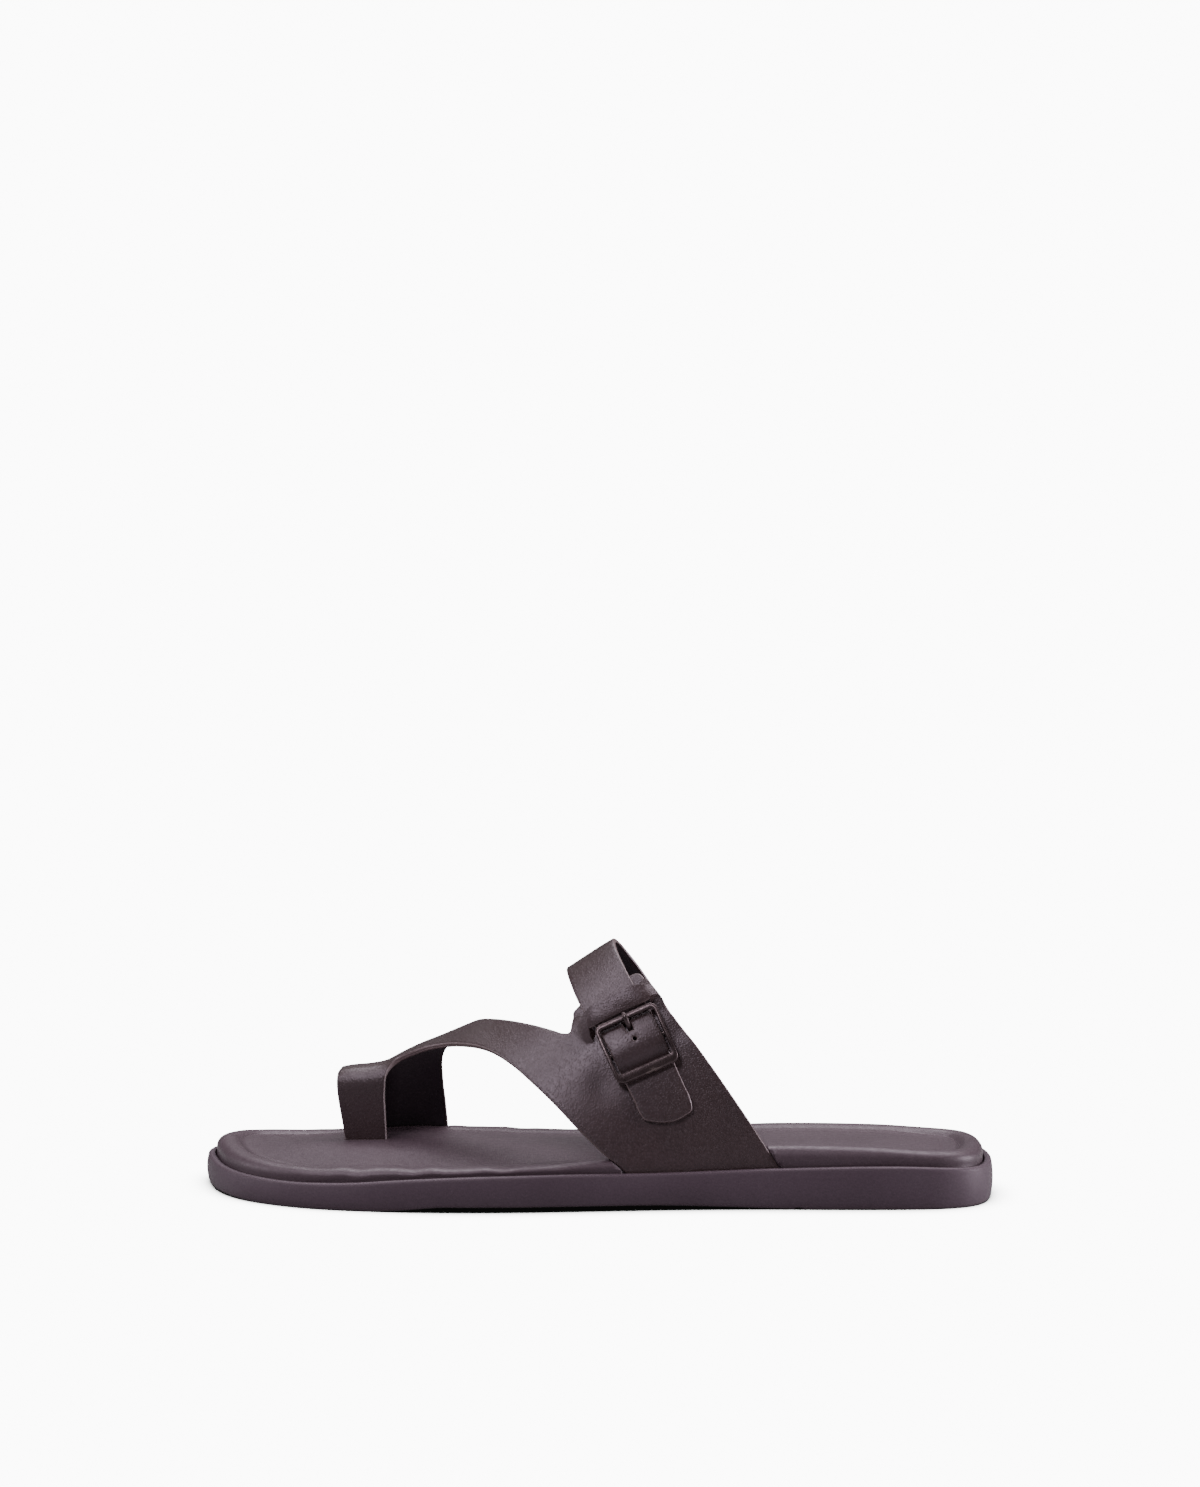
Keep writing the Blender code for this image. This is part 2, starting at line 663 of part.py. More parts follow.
def build_strap(finish):
    """Strap from the inner side over the instep, under the band and through the buckle."""
    foot_front, foot_rear = (pattern(share, 1) for share in INSTEP_FOOT)
    half = STRAP_WIDTH / 2

    def across_strap(offset, along):
        lean = TIP_LEAN * max(along - 0.007, 0) + TOP_LEAN * min(along + 0.008, 0)
        return by_buckle(offset + lean, along)

    front = [pattern(row[0], row[2]) for row in STRAP_ROWS]
    front += [across_strap(-half, along) for along in STRAP_RUN]
    rear = [pattern(row[1], row[2]) for row in STRAP_ROWS]
    rear += [across_strap(half, along) for along in STRAP_RUN]
    tip = [across_strap(half * across, TIP_REACH - TIP_ROUND * short)
           for across, short in STRAP_TIP]
    edge = [foot_front, *front, *tip, *rear[::-1], foot_rear]
    outline = joined(
        curve_through(edge, GRID * 0.72),
        curve_through([foot_rear, foot_front], GRID),
    )
    slot = PRONG_WIDTH / 2 + 0.0004
    far, near = PRONG_HOLE
    corners = [(-slot, far), (slot, far), (slot, near), (-slot, near)]
    places = [by_buckle(*corner) for corner in corners]
    hole = joined(*(curve_through([a, b], 0.0028)
                    for a, b in zip(places, places[1:] + places[:1])))
    return leather("instep_strap", outline, [hole], strap_face, STRAP_LEATHER, finish)


def buckle_point(across, along, out):
    """Place of a point of the buckle; its frame bends and twists a little with the foot."""
    out = out - along ** 2 / (2 * BUCKLE_BEND) - BUCKLE_TWIST * across * along
    return ORIGIN + ACROSS * across + ALONG * along + OUT * out


def rounded_frame(half_width, half_length, radius):
    """Corner arcs of a rounded frame joined by straight sides, each side in four parts."""
    points = []
    for turn in range(4):
        sx, sy = ((1, 1), (-1, 1), (-1, -1), (1, -1))[turn]
        centre = np.array([sx * (half_width - radius), sy * (half_length - radius)])
        arc = [math.radians(90 * turn + 22.5 * k) for k in range(5)]
        corner = [centre + radius * np.array([math.cos(a), math.sin(a)]) for a in arc]
        if points:
            points += [points[-1] + (corner[0] - points[-1]) * k / 4 for k in (1, 2, 3)]
        points += corner
    points += [points[-1] + (points[0] - points[-1]) * k / 4 for k in (1, 2, 3)]
    return np.array(points)


BAR_SEAT = STRAP_SEAT + STRAP_LEATHER + BAR_GAP


def build_buckle(finish):
    """Frame over the strap with a wide lower bar; its side bars come down to the centre bar."""
    outer = rounded_frame(BUCKLE_WIDTH / 2, BUCKLE_LENGTH / 2, BUCKLE_ROUND)
    inner = rounded_frame(BUCKLE_WIDTH / 2 - SIDE_BAR,
                          (BUCKLE_LENGTH - BUCKLE_BAR - BUCKLE_PLATE) / 2, BUCKLE_ROUND - SIDE_BAR)
    inner[:, 1] += (BUCKLE_BAR - BUCKLE_PLATE) / 2
    count = len(outer)
    levels = []
    for loop in (outer, inner):
        by_side = 1 - ease(0.50 * BUCKLE_LENGTH / 2, 0.72 * BUCKLE_LENGTH / 2, np.abs(outer[:, 1]))
        low = BAR_SEAT + (LEATHER + FIT_GAP - BAR_SEAT) * by_side
        for out in (low, np.full(count, BAR_SEAT + BUCKLE_DEPTH)):
            levels.append([buckle_point(*place, o) for place, o in zip(loop, out)])
    points = [point for level in levels for point in level]
    faces = []
    for i in range(count):
        j = (i + 1) % count
        for a, b in ((0, 1), (1, 3), (3, 2), (2, 0)):
            faces.append((a * count + i, a * count + j, b * count + j, b * count + i))
    frame = add_object("buckle_frame", points, faces, finish)
    reach = BUCKLE_WIDTH / 2 - SIDE_BAR / 3
    half = CENTRE_BAR_WIDTH / 2
    corners = [(s * reach, t * half, STRAP_SEAT + o) for o in (0.0001, CENTRE_BAR)
               for s, t in ((-1, -1), (1, -1), (1, 1), (-1, 1))]
    bar = add_object("centre_bar", [buckle_point(*corner) for corner in corners],
                     [(3, 2, 1, 0), (4, 5, 6, 7), (0, 1, 5, 4), (1, 2, 6, 5), (2, 3, 7, 6),
                      (3, 0, 4, 7)], finish)
    bar.hide_render = True
    bar.display_type = "WIRE"
    join = frame.modifiers.new("centre_bar", "BOOLEAN")
    join.operation = "UNION"
    join.object = bar
    return frame


def build_prong(finish):
    """Prong: its root stands by the centre bar, and it comes up through the strap to the top bar."""
    top = BAR_SEAT + BUCKLE_DEPTH + FIT_GAP
    bar = BUCKLE_LENGTH / 2
    root = STRAP_SEAT + 0.0002
    profile = [
        (-0.0012, root), (-0.0012, root + PRONG_DEPTH), (-0.0046, root + PRONG_DEPTH + 0.0002),
        (-0.0078, top + 0.0004), (-bar + 0.0014, top + 0.0013), (-bar - 0.0002, top + 0.0010),
        (-bar - 0.0006, top + 0.0001), (-bar + BUCKLE_BAR + 0.0004, top),
        (-0.0052, root + 0.0004), (-0.0046, root),
    ]
    count = len(profile)
    points = [buckle_point(side * PRONG_WIDTH / 2, *place) for side in (-1, 1) for place in profile]
    faces = [tuple(range(count)), tuple(range(2 * count - 1, count - 1, -1))]
    faces += [(i, (i + 1) % count, (i + 1) % count + count, i + count) for i in range(count)]
    return add_object("buckle_prong", points, faces, finish)


def room_for(name, face, corners, thickness, finish):
    """Guide that clears the footbed along a leg of leather: from just under its inner face out."""
    places = [pattern(*corner) for corner in corners]
    outline = joined(*(curve_through([a, b], GRID)
                       for a, b in zip(places, places[1:] + places[:1])))

    def under(place):
        return face(place) - (FIT_GAP + 0.0001) * outward(face, place)

    return leather(name, outline, [], under, thickness, finish)


def let_in_legs(footbed, finish):
    """Opens the footbed where the leather goes down beside it, and for the narrow leg."""
    over, past = ROOM_EASE / LENGTH, ROOM_PAST
    first, last = OUTER_PANEL
    panel = [(first - over, -past), (last + over, -past), (last + over, 0)]
    panel += [(share + over, turn) for share, turn in HEEL_EDGE[:1:-1]]
    panel += [(share - over, turn) for share, turn in FRONT_EDGE[2::-1]]
    first, last = TOE_PANEL
    toe = [(first - over, 1 + past), (last + over, 1 + past), (last + over, ROOM_TOP),
           (first - over, ROOM_TOP)]
    first, last = INSTEP_FOOT
    front, rear, turn = STRAP_ROWS[0]
    instep = [(first - over, 1 + past), (last + over, 1 + past), (last + over, 1),
              (rear + over, turn), (front - over, turn), (first - over, 1)]
    for name, corners in (("panel_room", panel), ("toe_room", toe), ("instep_room", instep)):
        cut(footbed, room_for(name, form_at, corners, 3 * LIP_WIDTH, finish))
    low, high = (FOLD_TURN - LEG_TURN * part for part in LEG_ROOM)
    first, last = TOE_LEG_BASE
    leg = [(first - over, low), (last + over, low), (last + over, high), (first - over, high)]
    cut(footbed, room_for("leg_room", upper_point, leg, LEATHER + 2.7 * FIT_GAP, finish))


def main():
    for old in list(bpy.data.objects):
        bpy.data.objects.remove(old)
    rubber = material("sole_rubber", (0.070, 0.052, 0.062), 0.62)
    padding = material("footbed_leather", (0.085, 0.068, 0.075), 0.55)
    hide = material("upper_leather", (0.045, 0.033, 0.036), 0.45)
    metal = material("buckle_paint", (0.022, 0.016, 0.017), 0.35, 0.6)
    build_sole(rubber)
    footbed = build_footbed(padding)
    let_in_legs(footbed, padding)
    build_upper(hide)
    build_strap(hide)
    build_buckle(metal)
    build_prong(metal)


main()
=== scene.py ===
"""Looks of a left toe-loop sandal: moulded sole, padded footbed, leather upper with a loop for
the big toe, and a buckled instep strap. Metres, +Z up. The toe points to -X, the outer side to
-Y, and the origin lies on the floor under the middle."""

import math

import bmesh
import bpy
import numpy as np
from mathutils import Matrix, Vector
from mathutils.geometry import delaunay_2d_cdt


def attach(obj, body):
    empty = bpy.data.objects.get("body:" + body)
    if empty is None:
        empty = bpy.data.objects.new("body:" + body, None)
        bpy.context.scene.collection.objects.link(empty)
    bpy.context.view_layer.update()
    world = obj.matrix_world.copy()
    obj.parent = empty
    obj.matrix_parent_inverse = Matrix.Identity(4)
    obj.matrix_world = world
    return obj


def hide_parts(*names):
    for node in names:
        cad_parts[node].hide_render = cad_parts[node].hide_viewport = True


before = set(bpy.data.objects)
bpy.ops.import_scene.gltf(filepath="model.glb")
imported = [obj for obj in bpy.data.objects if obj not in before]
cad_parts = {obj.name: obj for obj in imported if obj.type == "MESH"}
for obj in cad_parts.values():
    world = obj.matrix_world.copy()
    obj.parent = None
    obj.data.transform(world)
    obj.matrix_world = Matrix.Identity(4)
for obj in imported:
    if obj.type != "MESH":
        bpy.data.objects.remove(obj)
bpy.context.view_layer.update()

# Driving sizes in metres
LENGTH = 0.290
BALL_WIDTH = 0.106
EDGE_HEIGHT = 0.0155
TOE_SPRING = 0.0012
WAIST_RAISE = 0.0020
LIP_WIDTH = 0.0032
CUP_DEPTH = 0.0045
EDGE_BULGE = 0.0005
FOOT_EDGE = 0.0009
LIP_EDGE = 0.0012
RIM_RISE = 0.0074
RIM_HOLLOW = 0.0020
BALL_DOME = 0.0018
HEEL_DOME = 0.0008
CREST_HEIGHT = 0.0885
LEATHER = 0.0020
STRAP_LEATHER = 0.0018
FIT_GAP = 0.0003
CUP_GAP = 0.0005
BAR_GAP = 0.0009
SLOT_DEPTH = 0.0034
TOE_ROOM = 0.0215
TOE_BEND = 0.0035
LEG_LEAN = 0.10
LEG_SEAT = 0.0022
STRAP_WIDTH = 0.0195
TIP_LEAN = 0.085
TIP_FROM = 0.007
TOP_LEAN = 0.03
TOP_FROM = 0.008
SEAT_FALL = (0.42, 0.75)
BUCKLE_BAR = 0.0021
BUCKLE_PLATE = 0.0034
SIDE_BAR = 0.0014
SIDE_EASE = 0.0009
BUCKLE_LENGTH = 0.0236
BUCKLE_DEPTH = 0.0020
BUCKLE_ROUND = 0.0028
CENTRE_BAR = 0.0017
CENTRE_BAR_WIDTH = 0.0018
OVER_BAR = 0.0024
HUMP_RISE = (-0.0099, -0.0052)
HUMP_FALL = (0.0013, 0.0078)
PRONG_HOLE = (-0.0092, -0.0046)
PRONG_WIDTH = 0.0018
TIP_REACH = 0.0256
TIP_ROUND = 0.0046
BAND_WIDTH = 0.0068
BAND_CLEAR = 0.0010
SLIT = 0.0008
SLIT_EASE = 0.0012
TAB_MARGIN = 0.0026
TAB_RISE = 0.0097
ROOM_EASE = 0.0004
GROOVE_WIDTH = 0.0020
GROOVE_DEPTH = 0.0008

# Sole outline: share of length from the toe, outer and inner edge as shares of ball width
OUTLINE = (
    (0.000, 0.105, 0.105),
    (0.006, -0.004, 0.200),
    (0.025, -0.155, 0.302),
    (0.060, -0.292, 0.378),
    (0.104, -0.382, 0.424),
    (0.150, -0.440, 0.455),
    (0.210, -0.478, 0.482),
    (0.280, -0.497, 0.498),
    (0.340, -0.499, 0.492),
    (0.420, -0.481, 0.443),
    (0.520, -0.439, 0.363),
    (0.620, -0.396, 0.321),
    (0.720, -0.368, 0.306),
    (0.820, -0.356, 0.311),
    (0.900, -0.338, 0.305),
    (0.945, -0.312, 0.284),
    (0.975, -0.262, 0.232),
    (0.992, -0.185, 0.150),
    (1.000, -0.020, -0.020),
)

# Sole side: share of length, lip height as a share of edge height
LIP = (
    (0.00, 0.71), (0.03, 0.65), (0.07, 0.61), (0.12, 0.585), (0.17, 0.61), (0.21, 0.65),
    (0.26, 0.73), (0.32, 0.80), (0.45, 0.865), (0.60, 0.875), (0.73, 0.95), (0.90, 0.99),
    (1.00, 0.88),
)

# Shares of length where the raised waist begins and ends, and the ends of the tread groove
WAIST_RISE = (0.235, 0.330)
WAIST_FALL = (0.550, 0.800)
HEEL_GROOVE = (0.728, 0.870)

# Footbed: share of length, outer and inner rim above the lip as shares of rim rise,
# hollow as a share of rim hollow
RIM = (
    (0.00, 0.74, 0.74, 0.60), (0.10, 0.64, 0.66, 0.45), (0.21, 0.59, 0.57, 0.32),
    (0.32, 0.38, 0.30, 0.45), (0.45, 0.38, 0.24, 0.45), (0.52, 0.58, 0.42, 0.50),
    (0.60, 0.80, 0.62, 0.65), (0.72, 1.00, 0.80, 0.80), (0.84, 0.84, 0.68, 0.90),
    (0.92, 0.69, 0.61, 0.90), (1.00, 0.78, 0.78, 0.90),
)

# Foot form under the leather: share of length, crest height as a share of crest height,
# crest place across as a share of ball width
FORM = (
    (0.150, 0.415, 0.250), (0.180, 0.440, 0.232), (0.210, 0.453, 0.220), (0.229, 0.468, 0.215),
    (0.247, 0.500, 0.212), (0.268, 0.535, 0.208), (0.300, 0.580, 0.195), (0.340, 0.640, 0.165),
    (0.375, 0.690, 0.130), (0.410, 0.750, 0.100), (0.462, 0.860, 0.070), (0.527, 1.000, 0.050),
    (0.600, 1.120, 0.030), (0.750, 1.280, 0.010),
)
SHOULDER_LEAN = 0.25

# Where a leg of leather goes down between footbed and lip: first and last share of length
OUTER_PANEL = (0.553, 0.740)
TOE_PANEL = (0.170, 0.298)
INSTEP_FOOT = (0.578, 0.702)

# Edges of the upper on the foot form: share of length, turn round the form
FRONT_EDGE = (
    (0.540, 0.017), (0.520, 0.037), (0.488, 0.079), (0.460, 0.127), (0.430, 0.185),
    (0.400, 0.250), (0.365, 0.322), (0.335, 0.369), (0.307, 0.411), (0.282, 0.438),
    (0.262, 0.450), (0.244, 0.452), (0.232, 0.436), (0.2265, 0.395), (0.2245, 0.340),
)
TOE_EDGE = (
    (0.168, 0.330), (0.166, 0.400), (0.167, 0.460), (0.170, 0.540), (0.175, 0.640),
    (0.176, 0.750), (0.173, 0.880),
)
REAR_EDGE = (
    (0.295, 0.888), (0.293, 0.802), (0.299, 0.667), (0.320, 0.585), (0.352, 0.500),
    (0.387, 0.412), (0.425, 0.335), (0.455, 0.283), (0.466, 0.267),
)
HEEL_EDGE = (
    (0.613, 0.200), (0.635, 0.162), (0.680, 0.090), (0.700, 0.060), (0.720, 0.030),
)
TOE_LEG_BASE = (0.1705, 0.2225)

# Corners of the tab behind the strap: across as a share of half the tab, and how far above the
# band as a share of the tab's rise
TAB = (
    (-1.332, -0.062), (-1.221, 0.165), (-1.044, 0.557), (-0.956, 0.835), (-0.749, 1.000),
    (0.734, 1.000), (0.926, 0.959), (1.000, 0.753), (0.985, 0.103), (1.015, -0.309),
    (1.081, -0.804),
)

# Edges of the instep strap from its inner foot to the buckle: front share, rear share, turn
STRAP_ROWS = (
    (0.525, 0.637, 0.90), (0.490, 0.590, 0.80), (0.478, 0.556, 0.70), (0.470, 0.535, 0.60),
    (0.468, 0.528, 0.50), (0.474, 0.534, 0.40),
)

# The strap below the buckle: places along it, then its tip: across as a share of half the strap,
# and the distance short of its end as a share of the tip's round
STRAP_RUN = (-0.022, -0.010, 0.000, 0.012)
STRAP_TIP = (
    (-1.000, 1.74), (-1.000, 0.900), (-0.945, 0.500), (-0.760, 0.290), (0.640, 0.000),
    (0.915, 0.180), (1.000, 0.650), (1.000, 1.74),
)

# Middle of the buckle on the form, its slant and the bend of its frame
BUCKLE_PLACE = (0.5575, 0.1895)
BUCKLE_SLANT = math.radians(8)
BUCKLE_BEND = 0.085
BUCKLE_TWIST = 3.3

# Steps along the shoe and in the leather, girth of its pattern and smallest share of a triangle
STATIONS = 150
GRID = 0.0015
GIRTH = 0.150
SLIVER = 1e-3
SLIT_STEP = 0.0030
PRONG_SLOT_STEP = 0.0016

# Narrow leg of the toe loop: its fold and its length as turns, and the shares where it folds
FOLD_TURN = 0.46
LEG_TURN = 0.20
FOLD_FULL = 0.238
FOLD_NONE = 0.285

# Rooms for the leather in the footbed: turns past its foot and at the top, and their depths
ROOM_PAST = 0.03
ROOM_TOP = 0.80
LEG_ROOM = (1.06, 0.60)
ROOM_UNDER = FIT_GAP + 0.0001
ROOM_DEPTH = 3 * LIP_WIDTH
LEG_ROOM_DEPTH = LEATHER + 2.7 * FIT_GAP

# How much further in the cup's wall stands at its floor
CUP_LEAN = 0.0001

# Sizes that follow from the driving ones
CUP_INSET = LIP_WIDTH + CUP_LEAN + FIT_GAP
BUCKLE_WIDTH = STRAP_WIDTH + 2 * (SIDE_EASE + SIDE_BAR)
SLIT_REACH = STRAP_WIDTH / 2 + SLIT_EASE
BAND_LOW = -BUCKLE_LENGTH / 2 - BAND_CLEAR
BAND_HIGH = BAND_LOW - BAND_WIDTH
BAND_MIDDLE = (BAND_LOW + BAND_HIGH) / 2
STRAP_SEAT = LEATHER + FIT_GAP
BAND_LIFT = STRAP_SEAT + STRAP_LEATHER + FIT_GAP
BAR_SEAT = STRAP_SEAT + STRAP_LEATHER + BAR_GAP

# How the lift of the keeper band eases out: beside it, past it, and across from the slit's end
BAND_SIDE = 0.0025
BAND_PAST = 0.0045
LIFT_EASE = (-0.0010, 0.0052)

# Looks only: sizes that the solids leave out
CUT_EDGE_ROUND = 0.00048
LINING_GROOVE = 0.00010
FOOTBED_WAVE = 0.00022
INNER_GROOVE = 0.0011
SPARE_HOLE = (0.0002, -0.0016)
SPARE_HOLE_WIDTH = 0.0015
STRAP_CROWN = 0.0005
CROWN_ALONG = (-0.0010, 0.0085)
CROWN_ACROSS = (0.003, 0.0105)
BAND_ROLL = 0.0021
ROLL_EASE = (-0.0030, 0.0020)

# Cut edge of leather from the lining to the grain side: inset, height as a share of thickness
CUT_EDGE = (
    (0.00026, 0.00), (0.00008, 0.10), (0.0, 0.24), (0.00002, 0.40), (LINING_GROOVE, 0.47),
    (0.00002, 0.54), (0.0, 0.68), (0.3 * CUT_EDGE_ROUND, 0.88), (CUT_EDGE_ROUND, 1.00),
)

# Soft bumps and dents of the panel: height, then middle and reach across, and both along
PUFFS = (
    (0.0009, (SLIT_REACH + 0.0024, 0.0042), (BAND_MIDDLE, 0.0075)),
    (0.0003, (-SLIT_REACH - 0.0022, 0.0040), (BAND_MIDDLE, 0.0070)),
)
DENTS = (
    (0.0005, (SLIT_REACH + 0.0045, 0.006), (0.001, 0.006)),
    (0.0006, (-SLIT_REACH - 0.006, 0.009), (0.008, 0.010)),
)

# Rings of the sole: angles of the rounds at its foot and lip, parts of the height of its side,
# then the lip's inner edge as distances from the cup's wall and from its top
SOLE_FOOT = 0.0050
FOOT_TURNS = (15, 40, 65)
SIDE_PARTS = (0.02, 0.18, 0.34, 0.50, 0.66, 0.82, 0.98)
LIP_TURNS = (25, 45, 65, 88)
LIP_INNER = ((0.0007, 0.0), (0.0002, 0.0002), (0.0, 0.0007))

# Footbed: side from the lip up (inset, share of the rim's height), then steps into the hollow
PADDING_SIDE = (
    (0.0002, 0.08), (0.00015, 0.20), (0.0001, 0.34), (0.00015, 0.48), (0.0004, 0.62),
    (0.0009, 0.76), (0.0016, 0.87), (0.0025, 0.95), (0.0034, 0.99), (0.0044, 1.0),
)
HOLLOW_STEPS = (0.10, 0.22, 0.34, 0.44, 0.52, 0.60, 0.70, 0.84, 1.0)
HOLLOW_RUN = 0.0085
GROOVE_AT = 0.50
GROOVE_SPREAD = 0.13

# Shares of length where the footbed's waves, its groove, its dome and its ends ease in and out
WAVE_RISE = (0.10, 0.16)
WAVE_FALL = (0.42, 0.50)
WAVES = (0.061, 0.037)
GROOVE_FALL = (0.05, 0.17)
GROOVE_RISE = (0.86, 0.95)
DOME_FALL = (0.35, 0.60)
END_RISE = (0.02, 0.14)
END_FALL = (0.88, 0.98)

# Section of a buckle bar: share from the outer to the inner edge, share of its height
BAR_SECTION = (
    (0.00, 0.18), (0.00, 0.80), (0.06, 0.92), (0.20, 1.00), (0.50, 1.02), (0.80, 1.00),
    (0.94, 0.92), (1.00, 0.80), (1.00, 0.18), (0.93, 0.05), (0.75, 0.00), (0.25, 0.00),
    (0.07, 0.05),
)

# Prong: ease of its slot and height of its root, then along it half its thickness, and half its
# width as a share of the whole
PRONG_EASE = 0.0004
PRONG_ROOT = 0.0009
PRONG_THICK = ((0, 0.6, 0.85, 0.97, 1), (0.00075, 0.0007, 0.00062, 0.0005, 0.0001))
PRONG_WIDE = ((0, 0.85, 0.97, 1), (0.5, 0.48, 0.36, 0.08))

# Colours, linear
LEATHER_DARK = (0.0182, 0.0072, 0.0068)
LEATHER_LIGHT = (0.0220, 0.0090, 0.0086)
SHEEN_TINT = (1.0, 0.83, 0.99)
# Cut edges: paler than the grain side, and brighter still as a painted highlight
PALE_EDGE_AND_HIGHLIGHT = (0.115, 0.078, 0.082)
# Lining: darkened as painted shade inside the upper
LINING_PAINTED_SHADE = (0.0080, 0.0045, 0.0052)
COVER_DARK = (0.044, 0.026, 0.035)
COVER_LIGHT = (0.056, 0.035, 0.046)
COVER_VALLEY = (0.022, 0.013, 0.018)
RUBBER_DARK = (0.041, 0.0240, 0.0350)
RUBBER_LIGHT = (0.052, 0.0320, 0.0455)
RUBBER_DUST = (0.075, 0.055, 0.068)
PAINT_DARK = (0.0330, 0.0210, 0.0225)
PAINT_LIGHT = (0.0470, 0.0310, 0.0335)
# Sharp buckle edges: rubbed paint and a painted highlight
PAINT_RUB_AND_HIGHLIGHT = (0.16, 0.12, 0.12)

# Least and greatest roughness of each finish, cells of the grain in a metre, depth of the bumps
LEATHER_GLOSS = (0.42, 0.47)
COVER_GLOSS = (0.44, 0.54)
RUBBER_GLOSS = (0.53, 0.66)
PAINT_GLOSS = (0.24, 0.36)
LEATHER_CELLS = 1500.0
COVER_CELLS = 1900.0
LEATHER_BUMP = 0.00006
SKIN_BUMP = 0.00002
PAINT_BUMP = 0.00001

# Camera: turn round the shoe, height of the line of sight, distance, aim and frame in pixels
CAMERA_TURN = math.radians(3.5)
CAMERA_RISE = math.radians(9.6)
CAMERA_DISTANCE = 1.636
CAMERA_AIM = (0.0, 0.0, 0.030)
AIM_PIXEL = (596.0, 1107.2)
FRAME_PIXELS = (1200, 1487)
FOCAL_PIXELS = 4451.0
SENSOR = 36.0

# Soft lights: name, place, size, power
LIGHTS = (
    ("overhead_softbox", (0.20, 0.50, 1.30), (1.8, 0.8), 31.0),
    ("upper_softbox", (-0.66, -0.22, 1.10), (0.3, 0.25), 4.5),
    ("front_softbox", (-0.40, -0.90, 0.90), (0.3, 0.25), 8.0),
    ("toe_softbox", (-1.25, -0.02, 0.45), (0.6, 0.7), 6.0),
    ("heel_softbox", (1.25, -0.02, 0.30), (0.6, 0.6), 18.0),
)
FLOOR_SPAN = 4.0
FLOOR_BACK = 1.6
WALL_HEIGHT = 3.2
WALL_ROUND = 1.0
WALL_STEPS = 12
STUDIO_WHITE = 11.0
SKY_GLOW = 0.05
PAPER_WHITE = 0.35
PAPER_GLOW = 0.06
# Painted contact shadow on the paper: reach of the occlusion, its ramp, and its darkest glow
SHADOW_REACH = 0.016
SHADOW_OPEN = (0.30, 0.92)
SHADOW_GLOW = 0.004


def smooth(rows, column, at):
    """Value of a table's column on a smooth curve through its rows."""
    table = np.array(rows)
    places, values = table[:, 0], table[:, column]
    slopes = np.gradient(values, places)
    at = np.clip(at, places[0], places[-1])
    i = np.clip(np.searchsorted(places, at, side="right") - 1, 0, len(places) - 2)
    span = places[i + 1] - places[i]
    t = (at - places[i]) / span
    rise = values[i] * (1 + 2 * t) * (1 - t) ** 2 + values[i + 1] * t * t * (3 - 2 * t)
    return rise + span * (slopes[i] * t * (1 - t) ** 2 - slopes[i + 1] * t * t * (1 - t))


def ease(low, high, value):
    """0 below low, 1 above high, smooth between."""
    t = np.clip((value - low) / (high - low), 0.0, 1.0)
    return t * t * (3 - 2 * t)


def round_share(share):
    """A measure of length that runs evenly round the toe and the heel."""
    return np.arccos(np.clip(1 - 2 * np.asarray(share, float), -1, 1)) / math.pi


ROUND_OUTLINE = tuple((float(round_share(row[0])),) + row[1:] for row in OUTLINE)
FINE = np.linspace(0, 1, 401)
WIDEST = (smooth(ROUND_OUTLINE, 1, FINE).min(), smooth(ROUND_OUTLINE, 2, FINE).max())


def edge_point(side, turn):
    """Plan point of the sole's edge: side 1 outer, 2 inner, at a round share of length."""
    across = smooth(ROUND_OUTLINE, side, turn) - (WIDEST[0] + WIDEST[1]) / 2
    along = -LENGTH * np.cos(math.pi * turn) / 2
    return np.stack([along, across * BALL_WIDTH / (WIDEST[1] - WIDEST[0])], axis=-1)


def inset_edge(side, turn, inset):
    """The same, moved in square to the edge."""
    step = 1e-4
    ahead = edge_point(side, np.minimum(turn + step, 1))
    run = ahead - edge_point(side, np.maximum(turn - step, 0))
    run /= np.linalg.norm(run, axis=-1, keepdims=True)
    square = np.stack([-run[..., 1], run[..., 0]], axis=-1) * (1 if side == 1 else -1)
    return edge_point(side, turn) + square * inset


def edge_across(side, share, inset):
    """Place across of the inset edge at a share of length."""
    turn = round_share(share)
    step = 1e-4
    run = edge_point(side, turn + step) - edge_point(side, turn - step)
    slant = np.hypot(run[..., 0], run[..., 1]) / np.abs(run[..., 0])
    return edge_point(side, turn)[..., 1] + inset * slant * (1 if side == 1 else -1)


TURNS = np.linspace(0, 1, STATIONS + 1)
SHARES = (1 - np.cos(math.pi * TURNS)) / 2
RING_SHARES = np.concatenate([SHARES, SHARES[-2:0:-1]])


def ring(inset, heights):
    """Closed ring round the shoe: outer side from toe to heel, then back along the inner side."""
    inset = np.broadcast_to(inset, RING_SHARES.shape)[:, None]
    outer = inset_edge(1, TURNS, inset[:STATIONS + 1])
    inner = inset_edge(2, TURNS[-2:0:-1], inset[STATIONS + 1:])
    plan = np.concatenate([outer, inner])
    return np.column_stack([plan, np.broadcast_to(heights, RING_SHARES.shape)])


def lip_height(share):
    return EDGE_HEIGHT * smooth(LIP, 1, share)


def bottom_height(share):
    """Underside: toe spring, flat ball, raised waist, flat heel with a slight lift at its end."""
    toe = TOE_SPRING * (1 - ease(-0.06, 0.11, share))
    waist = WAIST_RAISE * ease(*WAIST_RISE, share) * (1 - ease(*WAIST_FALL, share))
    heel = 0.3 * TOE_SPRING * ease(0.965, 1.02, share)
    return toe + waist + heel


def add_object(name, points, faces, finish):
    mesh = bpy.data.meshes.new(name)
    mesh.from_pydata([tuple(map(float, p)) for p in points], [], faces)
    build = bmesh.new()
    build.from_mesh(mesh)
    bmesh.ops.recalc_face_normals(build, faces=build.faces)
    build.to_mesh(mesh)
    build.free()
    mesh.shade_smooth()
    mesh.set_sharp_from_angle(angle=math.radians(40))
    mesh.materials.append(finish)
    made = bpy.data.objects.new(name, mesh)
    bpy.context.scene.collection.objects.link(made)
    return made


